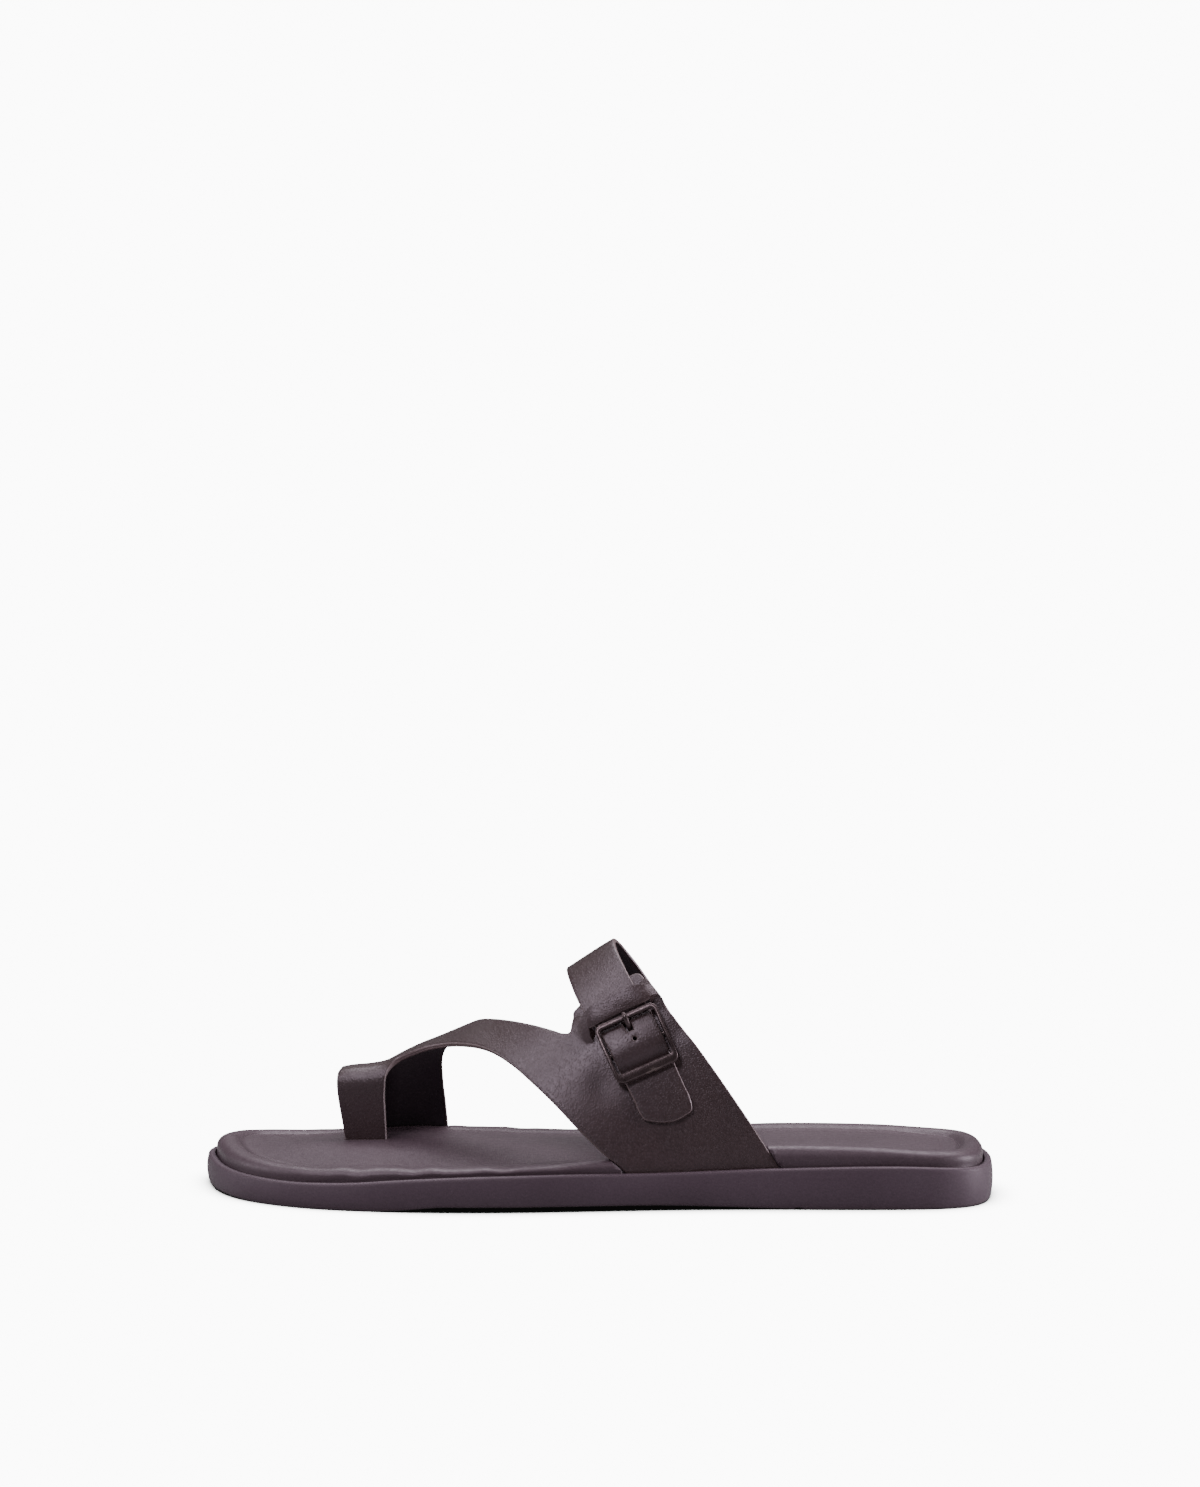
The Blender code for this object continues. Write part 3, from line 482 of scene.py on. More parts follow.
def cut(body, cutter):
    """Takes one shape out of another; the cutter stays as a guide that isn't rendered."""
    cutter.hide_render = True
    cutter.display_type = "WIRE"
    made = body.modifiers.new(cutter.name, "BOOLEAN")
    made.operation = "DIFFERENCE"
    made.object = cutter


def close_across(points, faces, start, ring_points, between, crown, up):
    """Closes a ring with rungs from the outer to the inner side; crown(share, place) adds height."""
    count = len(ring_points)
    rungs = []
    for i in range(1, STATIONS):
        first, last = ring_points[i], ring_points[count - i]
        rung = [start + i]
        for k in range(1, between + 1):
            place = k / (between + 1)
            point = first + (last - first) * place
            point[2] += crown(SHARES[i], place)
            rung.append(len(points))
            points.append(point)
        rung.append(start + count - i)
        rungs.append(rung)
    quads = []
    for a, b in zip(rungs, rungs[1:]):
        quads += [(a[k], b[k], b[k + 1], a[k + 1]) for k in range(len(a) - 1)]
    quads += [(start, rungs[0][k], rungs[0][k + 1]) for k in range(len(rungs[0]) - 1)]
    heel = start + STATIONS
    quads += [(heel, rungs[-1][k + 1], rungs[-1][k]) for k in range(len(rungs[-1]) - 1)]
    faces += quads if up else [face[::-1] for face in quads]


def between_rings(start, rings, count, closed=False):
    """Quads from each ring of points to the next, and if closed from the last to the first."""
    faces = []
    for k in range(rings if closed else rings - 1):
        here, above = start + k * count, start + (k + 1) % rings * count
        faces += [(here + i, here + (i + 1) % count, above + (i + 1) % count, above + i)
                  for i in range(count)]
    return faces


def no_crown(share, place):
    """Height that a flat closing face adds."""
    return 0.0


def lofted(name, rings, between, low_crown, high_crown, finish):
    """A solid through rings from the lowest one out and up to the highest one."""
    points = [point.copy() for points_of_ring in rings for point in points_of_ring]
    count = len(rings[0])
    faces = between_rings(0, len(rings), count)
    close_across(points, faces, 0, rings[0], between[0], low_crown, False)
    close_across(points, faces, (len(rings) - 1) * count, rings[-1], between[1], high_crown, True)
    return add_object(name, points, faces, finish)


def rim_height(share, side):
    return lip_height(share) + RIM_RISE * smooth(RIM, side, share)


def bed_height(share, side):
    """Top of the footbed inside its rim."""
    return rim_height(share, side) - RIM_HOLLOW * smooth(RIM, 3, share)


def round_both(height):
    """A height of each side, laid round the ring."""
    return np.concatenate([height(SHARES, 1), height(SHARES[-2:0:-1], 2)])


def form_point(share, turn):
    """Inner face of the leather on the foot form: turn 0 at the outer side's foot, 0.5 on the
    crest and 1 at the inner side's foot."""
    inset = CUP_INSET + LEATHER
    top = CREST_HEIGHT * smooth(FORM, 1, share)
    middle = BALL_WIDTH * smooth(FORM, 2, share)
    outer = edge_across(1, share, inset)
    inner = edge_across(2, share, inset)
    foot = lip_height(share) - SLOT_DEPTH
    angle = math.pi * turn
    spread = (1 - SHOULDER_LEAN) * np.abs(np.cos(angle)) + SHOULDER_LEAN * (1 - np.sin(angle))
    side = np.where(turn < 0.5, outer, inner)
    return np.stack([
        (share - 0.5) * LENGTH,
        middle + (side - middle) * spread,
        foot + (top - foot) * np.sin(angle),
    ], axis=-1)


def toe_leg_point(share, turn):
    """The narrow leg beside the big toe: round a bend at the fold, then down to the footbed."""
    fold = form_point(share, np.full_like(turn, FOLD_TURN))
    travel = np.clip((FOLD_TURN - turn) / LEG_TURN, 0, None)
    inside = edge_across(2, share, LIP_WIDTH + FIT_GAP + LEATHER) - TOE_ROOM
    fold_run = fold[..., 1] - inside - TOE_BEND
    end = bed_height(share, 2) + BALL_DOME - LEG_SEAT
    drop = fold[..., 2] - TOE_BEND - end
    arc = TOE_BEND * math.pi / 2
    whole = np.maximum(fold_run, 0) + arc + drop
    gone = travel * whole - np.maximum(fold_run, 0)
    bend = np.clip(gone / TOE_BEND, 0, math.pi / 2)
    down = np.clip(gone - arc, 0, None)
    flat = np.minimum(gone, 0) + np.maximum(fold_run, 0)
    return np.stack([
        fold[..., 0] + LEG_LEAN * down,
        fold[..., 1] - flat - TOE_BEND * np.sin(bend),
        fold[..., 2] - TOE_BEND * (1 - np.cos(bend)) - down,
    ], axis=-1)


def upper_point(place):
    """Inner face of the upper at flat pattern points (length along the shoe, girth)."""
    share = place[:, 0] / LENGTH
    turn = place[:, 1] / GIRTH
    form = form_point(share, turn)
    leg = toe_leg_point(share, np.minimum(turn, FOLD_TURN))
    amount = (1 - ease(FOLD_FULL, FOLD_NONE, share)) * (turn < FOLD_TURN)
    return form + (leg - form) * amount[:, None]


def outward(surface, place):
    """Unit normals of a surface of pattern points, facing away from the foot."""
    step = 2e-4
    ahead, across = np.array([step, 0.0]), np.array([0.0, step])
    run = surface(place + ahead) - surface(place - ahead)
    rise = surface(place + across) - surface(place - across)
    normal = np.cross(rise, run)
    normal /= np.maximum(np.linalg.norm(normal, axis=1, keepdims=True), 1e-12)
    return -normal


def pattern(share, turn):
    return np.array([share * LENGTH, turn * GIRTH])


def form_at(place):
    return form_point(place[:, 0] / LENGTH, place[:, 1] / GIRTH)


def buckle_axes():
    """Origin on the form, and the unit directions across, along (to the tip) and outward; then
    the pattern steps for one metre across and along."""
    middle = pattern(*BUCKLE_PLACE)[None]
    step = 1e-5
    run = (form_at(middle + (step, 0)) - form_at(middle - (step, 0)))[0] / (2 * step)
    rise = (form_at(middle + (0, step)) - form_at(middle - (0, step)))[0] / (2 * step)
    out = outward(form_at, middle)[0]
    level = run / np.linalg.norm(run)
    up = np.cross(level, out)
    up *= np.sign(up @ rise)
    across = math.cos(BUCKLE_SLANT) * level + math.sin(BUCKLE_SLANT) * up
    along = math.sin(BUCKLE_SLANT) * level - math.cos(BUCKLE_SLANT) * up
    tangents = np.column_stack([run, rise])
    steps = np.linalg.lstsq(tangents, np.column_stack([across, along]), rcond=None)[0]
    return form_at(middle)[0], across, along, out, steps


ORIGIN, ACROSS, ALONG, OUT, STEPS = buckle_axes()
BACK_STEPS = np.linalg.inv(STEPS)


def by_buckle(across, along):
    """Pattern point at a distance across and along from the middle of the buckle."""
    return pattern(*BUCKLE_PLACE) + STEPS @ np.array([across, along])


def from_buckle(place):
    """Distances across and along of pattern points from the middle of the buckle."""
    return (place - pattern(*BUCKLE_PLACE)) @ BACK_STEPS.T


def curve_through(points, spacing):
    """Points about a spacing apart on a smooth curve through the given ones, ends included."""
    points = np.array(points)
    lengths = np.linalg.norm(np.diff(points, axis=0), axis=1)
    places = np.concatenate([[0], np.cumsum(lengths)])
    rows = np.column_stack([places, points])
    count = max(1, round(places[-1] / spacing))
    at = np.linspace(0, places[-1], count + 1)
    return np.column_stack([smooth(rows, 1, at), smooth(rows, 2, at)])


def joined(*curves):
    """One closed outline from curves that follow each other."""
    points = np.concatenate(curves)
    gaps = np.linalg.norm(points - np.roll(points, 1, axis=0), axis=1)
    return points[gaps > 1e-6]


def polygon(corners, spacing):
    """Closed outline of straight sides between corners of the pattern."""
    return joined(*(curve_through([a, b], spacing)
                    for a, b in zip(corners, corners[1:] + corners[:1])))


def straight_cut(half_width, low, high, spacing):
    """Outline of a cut by the buckle that runs from low to high along the strap."""
    corners = ((-half_width, low), (half_width, low), (half_width, high), (-half_width, high))
    return polygon([by_buckle(*corner) for corner in corners], spacing)


def inside(outline, points):
    """Which points lie inside a closed outline."""
    found = np.zeros(len(points), bool)
    for (ax, ay), (bx, by) in zip(outline, np.roll(outline, -1, axis=0)):
        if ay == by:
            continue
        spans = (ay > points[:, 1]) != (by > points[:, 1])
        crossing = ax + (points[:, 1] - ay) * (bx - ax) / (by - ay)
        found ^= spans & (points[:, 0] < crossing)
    return found


def distance_to(outline, points):
    """Distance from each point to a closed outline."""
    nearest = np.full(len(points), np.inf)
    for a, b in zip(outline, np.roll(outline, -1, axis=0)):
        run = b - a
        t = np.clip((points - a) @ run / (run @ run), 0, 1)
        gap = np.linalg.norm(points - a - t[:, None] * run, axis=1)
        nearest = np.minimum(nearest, gap)
    return nearest


def cut_sheet(outline, holes):
    """Triangles of a flat pattern with holes, on an even grid of points."""
    low, high = outline.min(axis=0), outline.max(axis=0)
    columns = np.arange(low[0], high[0], GRID)
    rows = np.arange(low[1], high[1], GRID * 0.87)
    grid = np.array([(x + GRID / 2 * (j % 2), y) for j, y in enumerate(rows) for x in columns])
    keep = inside(outline, grid) & (distance_to(outline, grid) > 0.5 * GRID)
    for hole in holes:
        keep &= ~inside(hole, grid) & (distance_to(hole, grid) > 0.45 * GRID)
    loops = [outline, *holes]
    points = np.concatenate([*loops, grid[keep]])
    edges, start = [], 0
    for loop in loops:
        edges += [(start + i, start + (i + 1) % len(loop)) for i in range(len(loop))]
        start += len(loop)
    flat, _, faces, *_ = delaunay_2d_cdt([tuple(p) for p in points], edges, [], 0, 1e-9)
    flat = np.array(flat)
    corners = flat[np.array(faces)]
    (ax, ay), (bx, by) = (corners[:, 1] - corners[:, 0]).T, (corners[:, 2] - corners[:, 0]).T
    middles = corners.mean(axis=1)
    keep = inside(outline, middles) & (np.abs(ax * by - ay * bx) > SLIVER * GRID * GRID)
    for hole in holes:
        keep &= ~inside(hole, middles)
    faces = [face for face, kept in zip(faces, keep) if kept]
    used = sorted({i for face in faces for i in face})
    number = {old: new for new, old in enumerate(used)}
    return flat[used], [tuple(number[i] for i in face) for face in faces]


def border_after(faces):
    """Border of a sheet: the vertex that follows each of its vertices."""
    sides = {(face[i], face[(i + 1) % 3]) for face in faces for i in range(3)}
    return {a: b for a, b in sides if (b, a) not in sides}


def wall(name, outline, inner_face, thickness, finish):
    """A plain wall: the pattern laid on its inner face, and again a thickness further out."""
    flat, faces = cut_sheet(outline, [])
    under = inner_face(flat)
    over = under + thickness * outward(inner_face, flat)
    count = len(flat)
    solid = [face[::-1] for face in faces] + [tuple(i + count for i in face) for face in faces]
    solid += [(a, b, b + count, a + count) for a, b in border_after(faces).items()]
    return add_object(name, np.concatenate([under, over]), solid, finish)


def band_lift(place):
    """How far the keeper band and the leather at its ends stand off the form."""
    across, along = from_buckle(place).T
    across = np.abs(across)
    off_band = np.abs(along - BAND_MIDDLE) - BAND_WIDTH / 2
    beside = ease(SLIT_REACH, SLIT_REACH + BAND_SIDE, across) * (1 - ease(0, BAND_PAST, off_band))
    band = np.where(off_band < 0, 1.0, beside)
    return BAND_LIFT * band * (1 - ease(SLIT_REACH + LIFT_EASE[0], SLIT_REACH + LIFT_EASE[1], across))


def build_fine_upper(finish):
    """Outer panel with its tab and keeper band, diagonal strap and the loop of the big toe."""
    outer_front, outer_rear = (pattern(share, 0) for share in OUTER_PANEL)
    toe_front, toe_rear = (pattern(share, 1) for share in TOE_PANEL)
    leg_front, leg_rear = (pattern(share, FOLD_TURN - LEG_TURN) for share in TOE_LEG_BASE)
    half = SLIT_REACH + TAB_MARGIN
    tab = [by_buckle(half * across, BAND_HIGH - TAB_RISE * rise) for across, rise in TAB]
    front = [outer_front, *(pattern(*row) for row in FRONT_EDGE), leg_rear]
    toe = [leg_front, *(pattern(*row) for row in TOE_EDGE), toe_front]
    rear = [toe_rear, *(pattern(*row) for row in REAR_EDGE), *tab]
    rear += [*(pattern(*row) for row in HEEL_EDGE), outer_rear]
    outline = joined(
        curve_through(front, GRID * 0.8),
        curve_through([leg_rear, leg_front], GRID),
        curve_through(toe, GRID),
        curve_through([toe_front, toe_rear], GRID),
        curve_through(rear, GRID * 0.75),
        curve_through([outer_rear, outer_front], GRID),
    )
    slits = [straight_cut(SLIT_REACH, along - SLIT / 2, along + SLIT / 2, SLIT_STEP)
             for along in (BAND_LOW, BAND_HIGH)]
    return skin("upper_leather", outline, slits, fine_upper_face, LEATHER, finish)


def strap_face(place):
    """Inner face of the instep strap: on the panel, over the centre bar, and on the form inside."""
    across, along = from_buckle(place).T
    turn = place[:, 1] / GIRTH
    seat = STRAP_SEAT * (1 - ease(*SEAT_FALL, turn))
    over_bar = OVER_BAR * ease(*HUMP_RISE, along) * (1 - ease(*HUMP_FALL, along))
    over_bar *= np.abs(across) < STRAP_WIDTH
    return form_at(place) + (seat + over_bar)[:, None] * outward(form_at, place)


def build_fine_strap(finish):
    """Strap from the inner side over the instep, under the band and through the buckle."""
    foot_front, foot_rear = (pattern(share, 1) for share in INSTEP_FOOT)
    half = STRAP_WIDTH / 2

    def across_strap(offset, along):
        lean = TIP_LEAN * max(along - TIP_FROM, 0) + TOP_LEAN * min(along + TOP_FROM, 0)
        return by_buckle(offset + lean, along)

    front = [pattern(row[0], row[2]) for row in STRAP_ROWS]
    front += [across_strap(-half, along) for along in STRAP_RUN]
    rear = [pattern(row[1], row[2]) for row in STRAP_ROWS]
    rear += [across_strap(half, along) for along in STRAP_RUN]
    tip = [across_strap(half * across, TIP_REACH - TIP_ROUND * short)
           for across, short in STRAP_TIP]
    edge = [foot_front, *front, *tip, *rear[::-1], foot_rear]
    outline = joined(
        curve_through(edge, GRID * 0.72),
        curve_through([foot_rear, foot_front], GRID),
    )
    return skin("instep_strap_leather", outline, fine_strap_holes(), fine_strap_face,
                STRAP_LEATHER, finish)


def buckle_point(across, along, out):
    """Place of a point of the buckle; its frame bends and twists a little with the foot."""
    out = out - along ** 2 / (2 * BUCKLE_BEND) - BUCKLE_TWIST * across * along
    return ORIGIN + ACROSS * across + ALONG * along + OUT * out


def skin(name, outline, holes, inner_face, thickness, finish):
    """Leather with rounded cut edges that show the line between lining and grain side."""
    flat, faces = cut_sheet(outline, holes)
    base = inner_face(flat)
    out = outward(inner_face, flat)
    after = border_after(faces)
    before = {b: a for a, b in after.items()}
    border = sorted(after)
    run = np.array([base[after[i]] - base[before[i]] for i in border])
    into = np.cross(out[border], run)
    into /= np.maximum(np.linalg.norm(into, axis=1, keepdims=True), 1e-12)
    first = next(face for face in faces if after.get(face[0]) == face[1])
    third = base[first[2]] - base[first[0]]
    if into[border.index(first[0])] @ third < 0:
        into = -into
    count, rim = len(flat), len(border)
    place = {vertex: k for k, vertex in enumerate(border)}
    under, over = base.copy(), base + thickness * out
    levels = [base[border] + inset * into + height * thickness * out[border]
              for inset, height in CUT_EDGE]
    under[border], over[border] = levels[0], levels[-1]
    points = [under, over, *levels[1:-1]]
    solid = [face[::-1] for face in faces] + [tuple(i + count for i in face) for face in faces]

    def vertex_of(i, level):
        if level == 0:
            return i
        if level == len(CUT_EDGE) - 1:
            return i + count
        return 2 * count + (level - 1) * rim + place[i]

    for a, b in after.items():
        for level in range(len(CUT_EDGE) - 1):
            solid.append((vertex_of(a, level), vertex_of(b, level),
                          vertex_of(b, level + 1), vertex_of(a, level + 1)))
    made = add_object(name, np.concatenate(points), solid, finish)
    edge = np.zeros(len(made.data.vertices))
    edge[2 * count:] = 1.0
    lining = np.zeros(len(made.data.vertices))
    lining[:count] = 1.0
    lining[border] = 0.5
    for label, values in (("cut_edge", edge), ("lining", lining)):
        made.data.attributes.new(label, "FLOAT", "POINT").data.foreach_set("value", values)
    return made


def room_for(name, face, corners, thickness, finish):
    """Guide that clears the footbed along a leg of leather: from just under its inner face out."""

    def under(place):
        return face(place) - ROOM_UNDER * outward(face, place)

    outline = polygon([pattern(*corner) for corner in corners], GRID)
    return wall(name, outline, under, thickness, finish)


def let_in_legs(footbed, finish):
    """Opens the footbed where the leather goes down beside it, and for the narrow leg."""
    over, past = ROOM_EASE / LENGTH, ROOM_PAST
    first, last = OUTER_PANEL
    panel = [(first - over, -past), (last + over, -past), (last + over, 0)]
    panel += [(share + over, turn) for share, turn in HEEL_EDGE[:1:-1]]
    panel += [(share - over, turn) for share, turn in FRONT_EDGE[2::-1]]
    first, last = TOE_PANEL
    toe = [(first - over, 1 + past), (last + over, 1 + past), (last + over, ROOM_TOP),
           (first - over, ROOM_TOP)]
    first, last = INSTEP_FOOT
    front, rear, turn = STRAP_ROWS[0]
    instep = [(first - over, 1 + past), (last + over, 1 + past), (last + over, 1),
              (rear + over, turn), (front - over, turn), (first - over, 1)]
    for name, corners in (("panel_room", panel), ("toe_room", toe), ("instep_room", instep)):
        cut(footbed, room_for(name, form_at, corners, ROOM_DEPTH, finish))
    low, high = (FOLD_TURN - LEG_TURN * part for part in LEG_ROOM)
    first, last = TOE_LEG_BASE
    leg = [(first - over, low), (last + over, low), (last + over, high), (first - over, high)]
    cut(footbed, room_for("leg_room", upper_point, leg, LEG_ROOM_DEPTH, finish))


def build_fine_sole(finish):
    """Cup sole with a barrel side and a rounded lip."""
    low = bottom_height(RING_SHARES)
    lip = lip_height(RING_SHARES)
    rings = [ring(SOLE_FOOT, low), ring(EDGE_BULGE + 1.4 * FOOT_EDGE, low)]
    for turn in FOOT_TURNS:
        angle = math.radians(turn)
        rings.append(ring(EDGE_BULGE + FOOT_EDGE * (1 - math.sin(angle)),
                          low + FOOT_EDGE * (1 - math.cos(angle))))
    for part in SIDE_PARTS:
        bulge = EDGE_BULGE * (2 * part - 1) ** 2
        side = low + FOOT_EDGE + part * (lip - LIP_EDGE - low - FOOT_EDGE)
        rings.append(ring(bulge, side))
    for turn in LIP_TURNS:
        angle = math.radians(turn)
        rings.append(ring(EDGE_BULGE + LIP_EDGE * (1 - math.cos(angle)),
                          lip - LIP_EDGE * (1 - math.sin(angle))))
    rings += [ring(LIP_WIDTH - inset, lip - drop) for inset, drop in LIP_INNER]
    rings.append(ring(LIP_WIDTH + CUP_LEAN, lip - CUP_DEPTH))
    sole = lofted("sole_rubber", rings, (3, 3), no_crown, no_crown, finish)
    first, last = (np.array([(share - 0.5) * LENGTH, side * BALL_WIDTH * 0.6])
                   for share, side in zip(HEEL_GROOVE, (-1, 1)))
    along = (last - first) / np.linalg.norm(last - first)
    square = np.array([-along[1], along[0]]) * GROOVE_WIDTH / 2
    corners = [first + square, first - square, last - square, last + square]
    points = [(*c, z) for z in (-EDGE_HEIGHT, GROOVE_DEPTH) for c in corners]
    faces = [(3, 2, 1, 0), (4, 5, 6, 7)]
    faces += [(i, (i + 1) % 4, (i + 1) % 4 + 4, i + 4) for i in range(4)]
    cut(sole, add_object("heel_groove", points, faces, finish))
    return settled(sole)


def padding_wave(share, side):
    """Soft waves that the cover shows where the ball of the foot presses the padding."""
    reach = ease(*WAVE_RISE, share) * (1 - ease(*WAVE_FALL, share))
    long, short = (2 * math.pi * share / length for length in WAVES)
    wave = np.sin(long + 1.1) + 0.6 * np.sin(short)
    return FOOTBED_WAVE * reach * wave * (1.0 if side == 1 else 0.6)


def build_fine_footbed(finish):
    """Padded insole: rolled cover over the foam rim, a groove inside it and a soft hollow."""
    floor = lip_height(RING_SHARES) - CUP_DEPTH + CUP_GAP
    lip = lip_height(RING_SHARES)
    rim, bed = round_both(rim_height), round_both(bed_height)
    wave = round_both(padding_wave)
    edge = CUP_INSET
    rings = [ring(edge + 0.0030, floor), ring(edge + 0.0008, floor), ring(edge, floor + 0.0010),
             ring(edge + 0.0001, lip - 0.0006)]
    for inset, height in PADDING_SIDE:
        rings.append(ring(edge + inset + 0.8 * wave * (1 - height), lip + height * (rim + wave - lip)))
    ends = 1 - ease(*GROOVE_FALL, RING_SHARES) * (1 - ease(*GROOVE_RISE, RING_SHARES))
    groove = INNER_GROOVE * (0.25 + 0.75 * ends)
    for part in HOLLOW_STEPS:
        inset = edge + PADDING_SIDE[-1][0] + part * HOLLOW_RUN
        fold = groove * math.exp(-((part - GROOVE_AT) / GROOVE_SPREAD) ** 2)
        height = rim + wave * (1 - part) + (bed - rim) * ease(0, 1, part) - fold
        rings.append(ring(inset, height))

    def crown(share, place):
        dome = HEEL_DOME + (BALL_DOME - HEEL_DOME) * (1 - ease(*DOME_FALL, share))
        ends = ease(*END_RISE, share) * (1 - ease(*END_FALL, share))
        return dome * ends * math.sin(math.pi * place)

    footbed = lofted("footbed_padding", rings, (3, 13), no_crown, crown, finish)
    let_in_legs(footbed, finish)
    return settled(footbed)


def settled(piece):
    """The piece with its modifiers worked into a plain mesh, and its cutters gone."""
    cutters = [m.object for m in piece.modifiers if m.type == "BOOLEAN"]
    graph = bpy.context.evaluated_depsgraph_get()
    made = bpy.data.meshes.new_from_object(piece.evaluated_get(graph), depsgraph=graph)
    piece.modifiers.clear()
    piece.data = made
    for cutter in cutters:
        bpy.data.objects.remove(cutter)
    return piece


def hump(value, middle, reach):
    """1 in the middle, smoothly down to 0 at the reach on both sides."""
    return 1 - ease(0.0, reach, np.abs(value - middle))


def relief(bumps, across, along):
    """Height of a table of soft bumps."""
    return sum(height * hump(across, *at_across) * hump(along, *at_along)
               for height, at_across, at_along in bumps)


def fine_upper_face(place):
    """Inner face of the upper: the keeper band lifted over the strap, its upper edge rolled out,
    and the leather swollen and dented round the buckle."""
    across, along = from_buckle(place).T
    rolled = np.clip((along - BAND_LOW) / (BAND_HIGH - BAND_LOW), 0.0, 1.0)
    rolled *= 1 - ease(BAND_HIGH + SLIT / 2, BAND_HIGH - SLIT / 2, along)
    rolled *= 1 - ease(SLIT_REACH + ROLL_EASE[0], SLIT_REACH + ROLL_EASE[1], np.abs(across))
    lift = band_lift(place) + relief(PUFFS, across, along) - relief(DENTS, across, along)
    lift += BAND_ROLL * rolled
    return upper_point(place) + lift[:, None] * outward(form_at, place)


def fine_strap_face(place):
    """Inner face of the instep strap, swollen inside the buckle and pressed down by its bars."""
    across, along = from_buckle(place).T
    swell = STRAP_CROWN * hump(along, *CROWN_ALONG) * (1 - ease(*CROWN_ACROSS, np.abs(across)))
    return strap_face(place) + swell[:, None] * outward(form_at, place)


def fine_strap_holes():
    """Outlines of the prong's slot and of the spare hole."""
    prong_slot = straight_cut(PRONG_WIDTH / 2 + PRONG_EASE, *PRONG_HOLE, PRONG_SLOT_STEP)
    radius = SPARE_HOLE_WIDTH / 2
    spare = np.array([by_buckle(SPARE_HOLE[0] + radius * math.cos(t),
                                SPARE_HOLE[1] + radius * math.sin(t))
                      for t in np.linspace(0, 2 * math.pi, 14, endpoint=False)])
    return [prong_slot, spare]


def fine_frame(half_width, half_length, radius, shift):
    """Corner arcs of a rounded frame joined by straight sides of even steps."""
    points = []
    arc_steps, side_steps = 8, 10
    for turn, (sx, sy) in enumerate(((1, 1), (-1, 1), (-1, -1), (1, -1))):
        centre = np.array([sx * (half_width - radius), sy * (half_length - radius)])
        arc = [math.radians(90 * turn + 90 * k / arc_steps) for k in range(arc_steps + 1)]
        corner = [centre + radius * np.array([math.cos(a), math.sin(a)]) for a in arc]
        if points:
            last = points[-1]
            points += [last + (corner[0] - last) * k / side_steps for k in range(1, side_steps)]
        points += corner
    last = points[-1]
    points += [last + (points[0] - last) * k / side_steps for k in range(1, side_steps)]
    return np.array(points) + (0, shift)


def build_fine_buckle(finish):
    """Frame with rounded bars and a flat lower plate, and the centre bar under the strap."""
    outer = fine_frame(BUCKLE_WIDTH / 2, BUCKLE_LENGTH / 2, BUCKLE_ROUND, 0)
    inner = fine_frame(BUCKLE_WIDTH / 2 - SIDE_BAR, (BUCKLE_LENGTH - BUCKLE_BAR - BUCKLE_PLATE) / 2,
                       BUCKLE_ROUND - SIDE_BAR, (BUCKLE_BAR - BUCKLE_PLATE) / 2)
    count = len(outer)
    half = BUCKLE_LENGTH / 2
    by_side = 1 - ease(0.50 * half, 0.72 * half, np.abs(outer[:, 1]))
    low = BAR_SEAT + (LEATHER + FIT_GAP - BAR_SEAT) * by_side
    points = []
    for share, height in BAR_SECTION:
        loop = outer + (inner - outer) * share
        rise = low + (BAR_SEAT + BUCKLE_DEPTH - low) * height
        points += [buckle_point(*place, out) for place, out in zip(loop, rise)]
    faces = between_rings(0, len(BAR_SECTION), count, closed=True)
    reach = BUCKLE_WIDTH / 2 - SIDE_BAR / 2
    start, turns, steps = len(points), 12, 10
    for k in range(steps + 1):
        across = -reach + 2 * reach * k / steps
        for t in range(turns):
            angle = 2 * math.pi * t / turns
            points.append(buckle_point(across, CENTRE_BAR_WIDTH / 2 * math.cos(angle),
                                       STRAP_SEAT + CENTRE_BAR / 2 * (1 + math.sin(angle))))
    faces += between_rings(start, steps + 1, turns)
    faces.append(tuple(range(start, start + turns)))
    faces.append(tuple(range(start + steps * turns + turns - 1, start + steps * turns - 1, -1)))
    return add_object("buckle_metal", points, faces, finish)


def build_fine_prong(finish):
    """Round prong, bent up from the centre bar and flattened where it rests on the top bar."""
    top = BAR_SEAT + BUCKLE_DEPTH + FIT_GAP
    bar = BUCKLE_LENGTH / 2
    root = STRAP_SEAT + PRONG_ROOT
    # Its line from the root to the tip: place along, height
    line = np.array([
        (-0.0014, root), (-0.0030, root + 0.0001), (-0.0047, root + 0.0005),
        (-0.0062, root + 0.0019), (-0.0078, top - 0.0004), (-bar + 0.0022, top + 0.0007),
        (-bar + 0.0010, top + 0.0009), (-bar + 0.0001, top + 0.0006), (-bar - 0.0005, top + 0.0002),
    ])
    places = np.concatenate([[0], np.cumsum(np.linalg.norm(np.diff(line, axis=0), axis=1))])
    rows = np.column_stack([places, line])
    steps, turns = 30, 14
    at = np.linspace(0, places[-1], steps)
    path = np.column_stack([smooth(rows, 1, at), smooth(rows, 2, at)])
    run = np.gradient(path, axis=0)
    run /= np.linalg.norm(run, axis=1, keepdims=True)
    square = np.column_stack([-run[:, 1], run[:, 0]])
    half_thick = np.interp(at / places[-1], *PRONG_THICK)
    half_wide = np.interp(at / places[-1], *PRONG_WIDE) * PRONG_WIDTH
    points = []
    for k in range(steps):
        for t in range(turns):
            angle = 2 * math.pi * t / turns
            spot = path[k] + square[k] * half_thick[k] * math.sin(angle)
            points.append(buckle_point(half_wide[k] * math.cos(angle), *spot))
    faces = between_rings(0, steps, turns)
    faces.append(tuple(range(turns - 1, -1, -1)))
    faces.append(tuple(range((steps - 1) * turns, steps * turns)))
    return add_object("prong_metal", points, faces, finish)


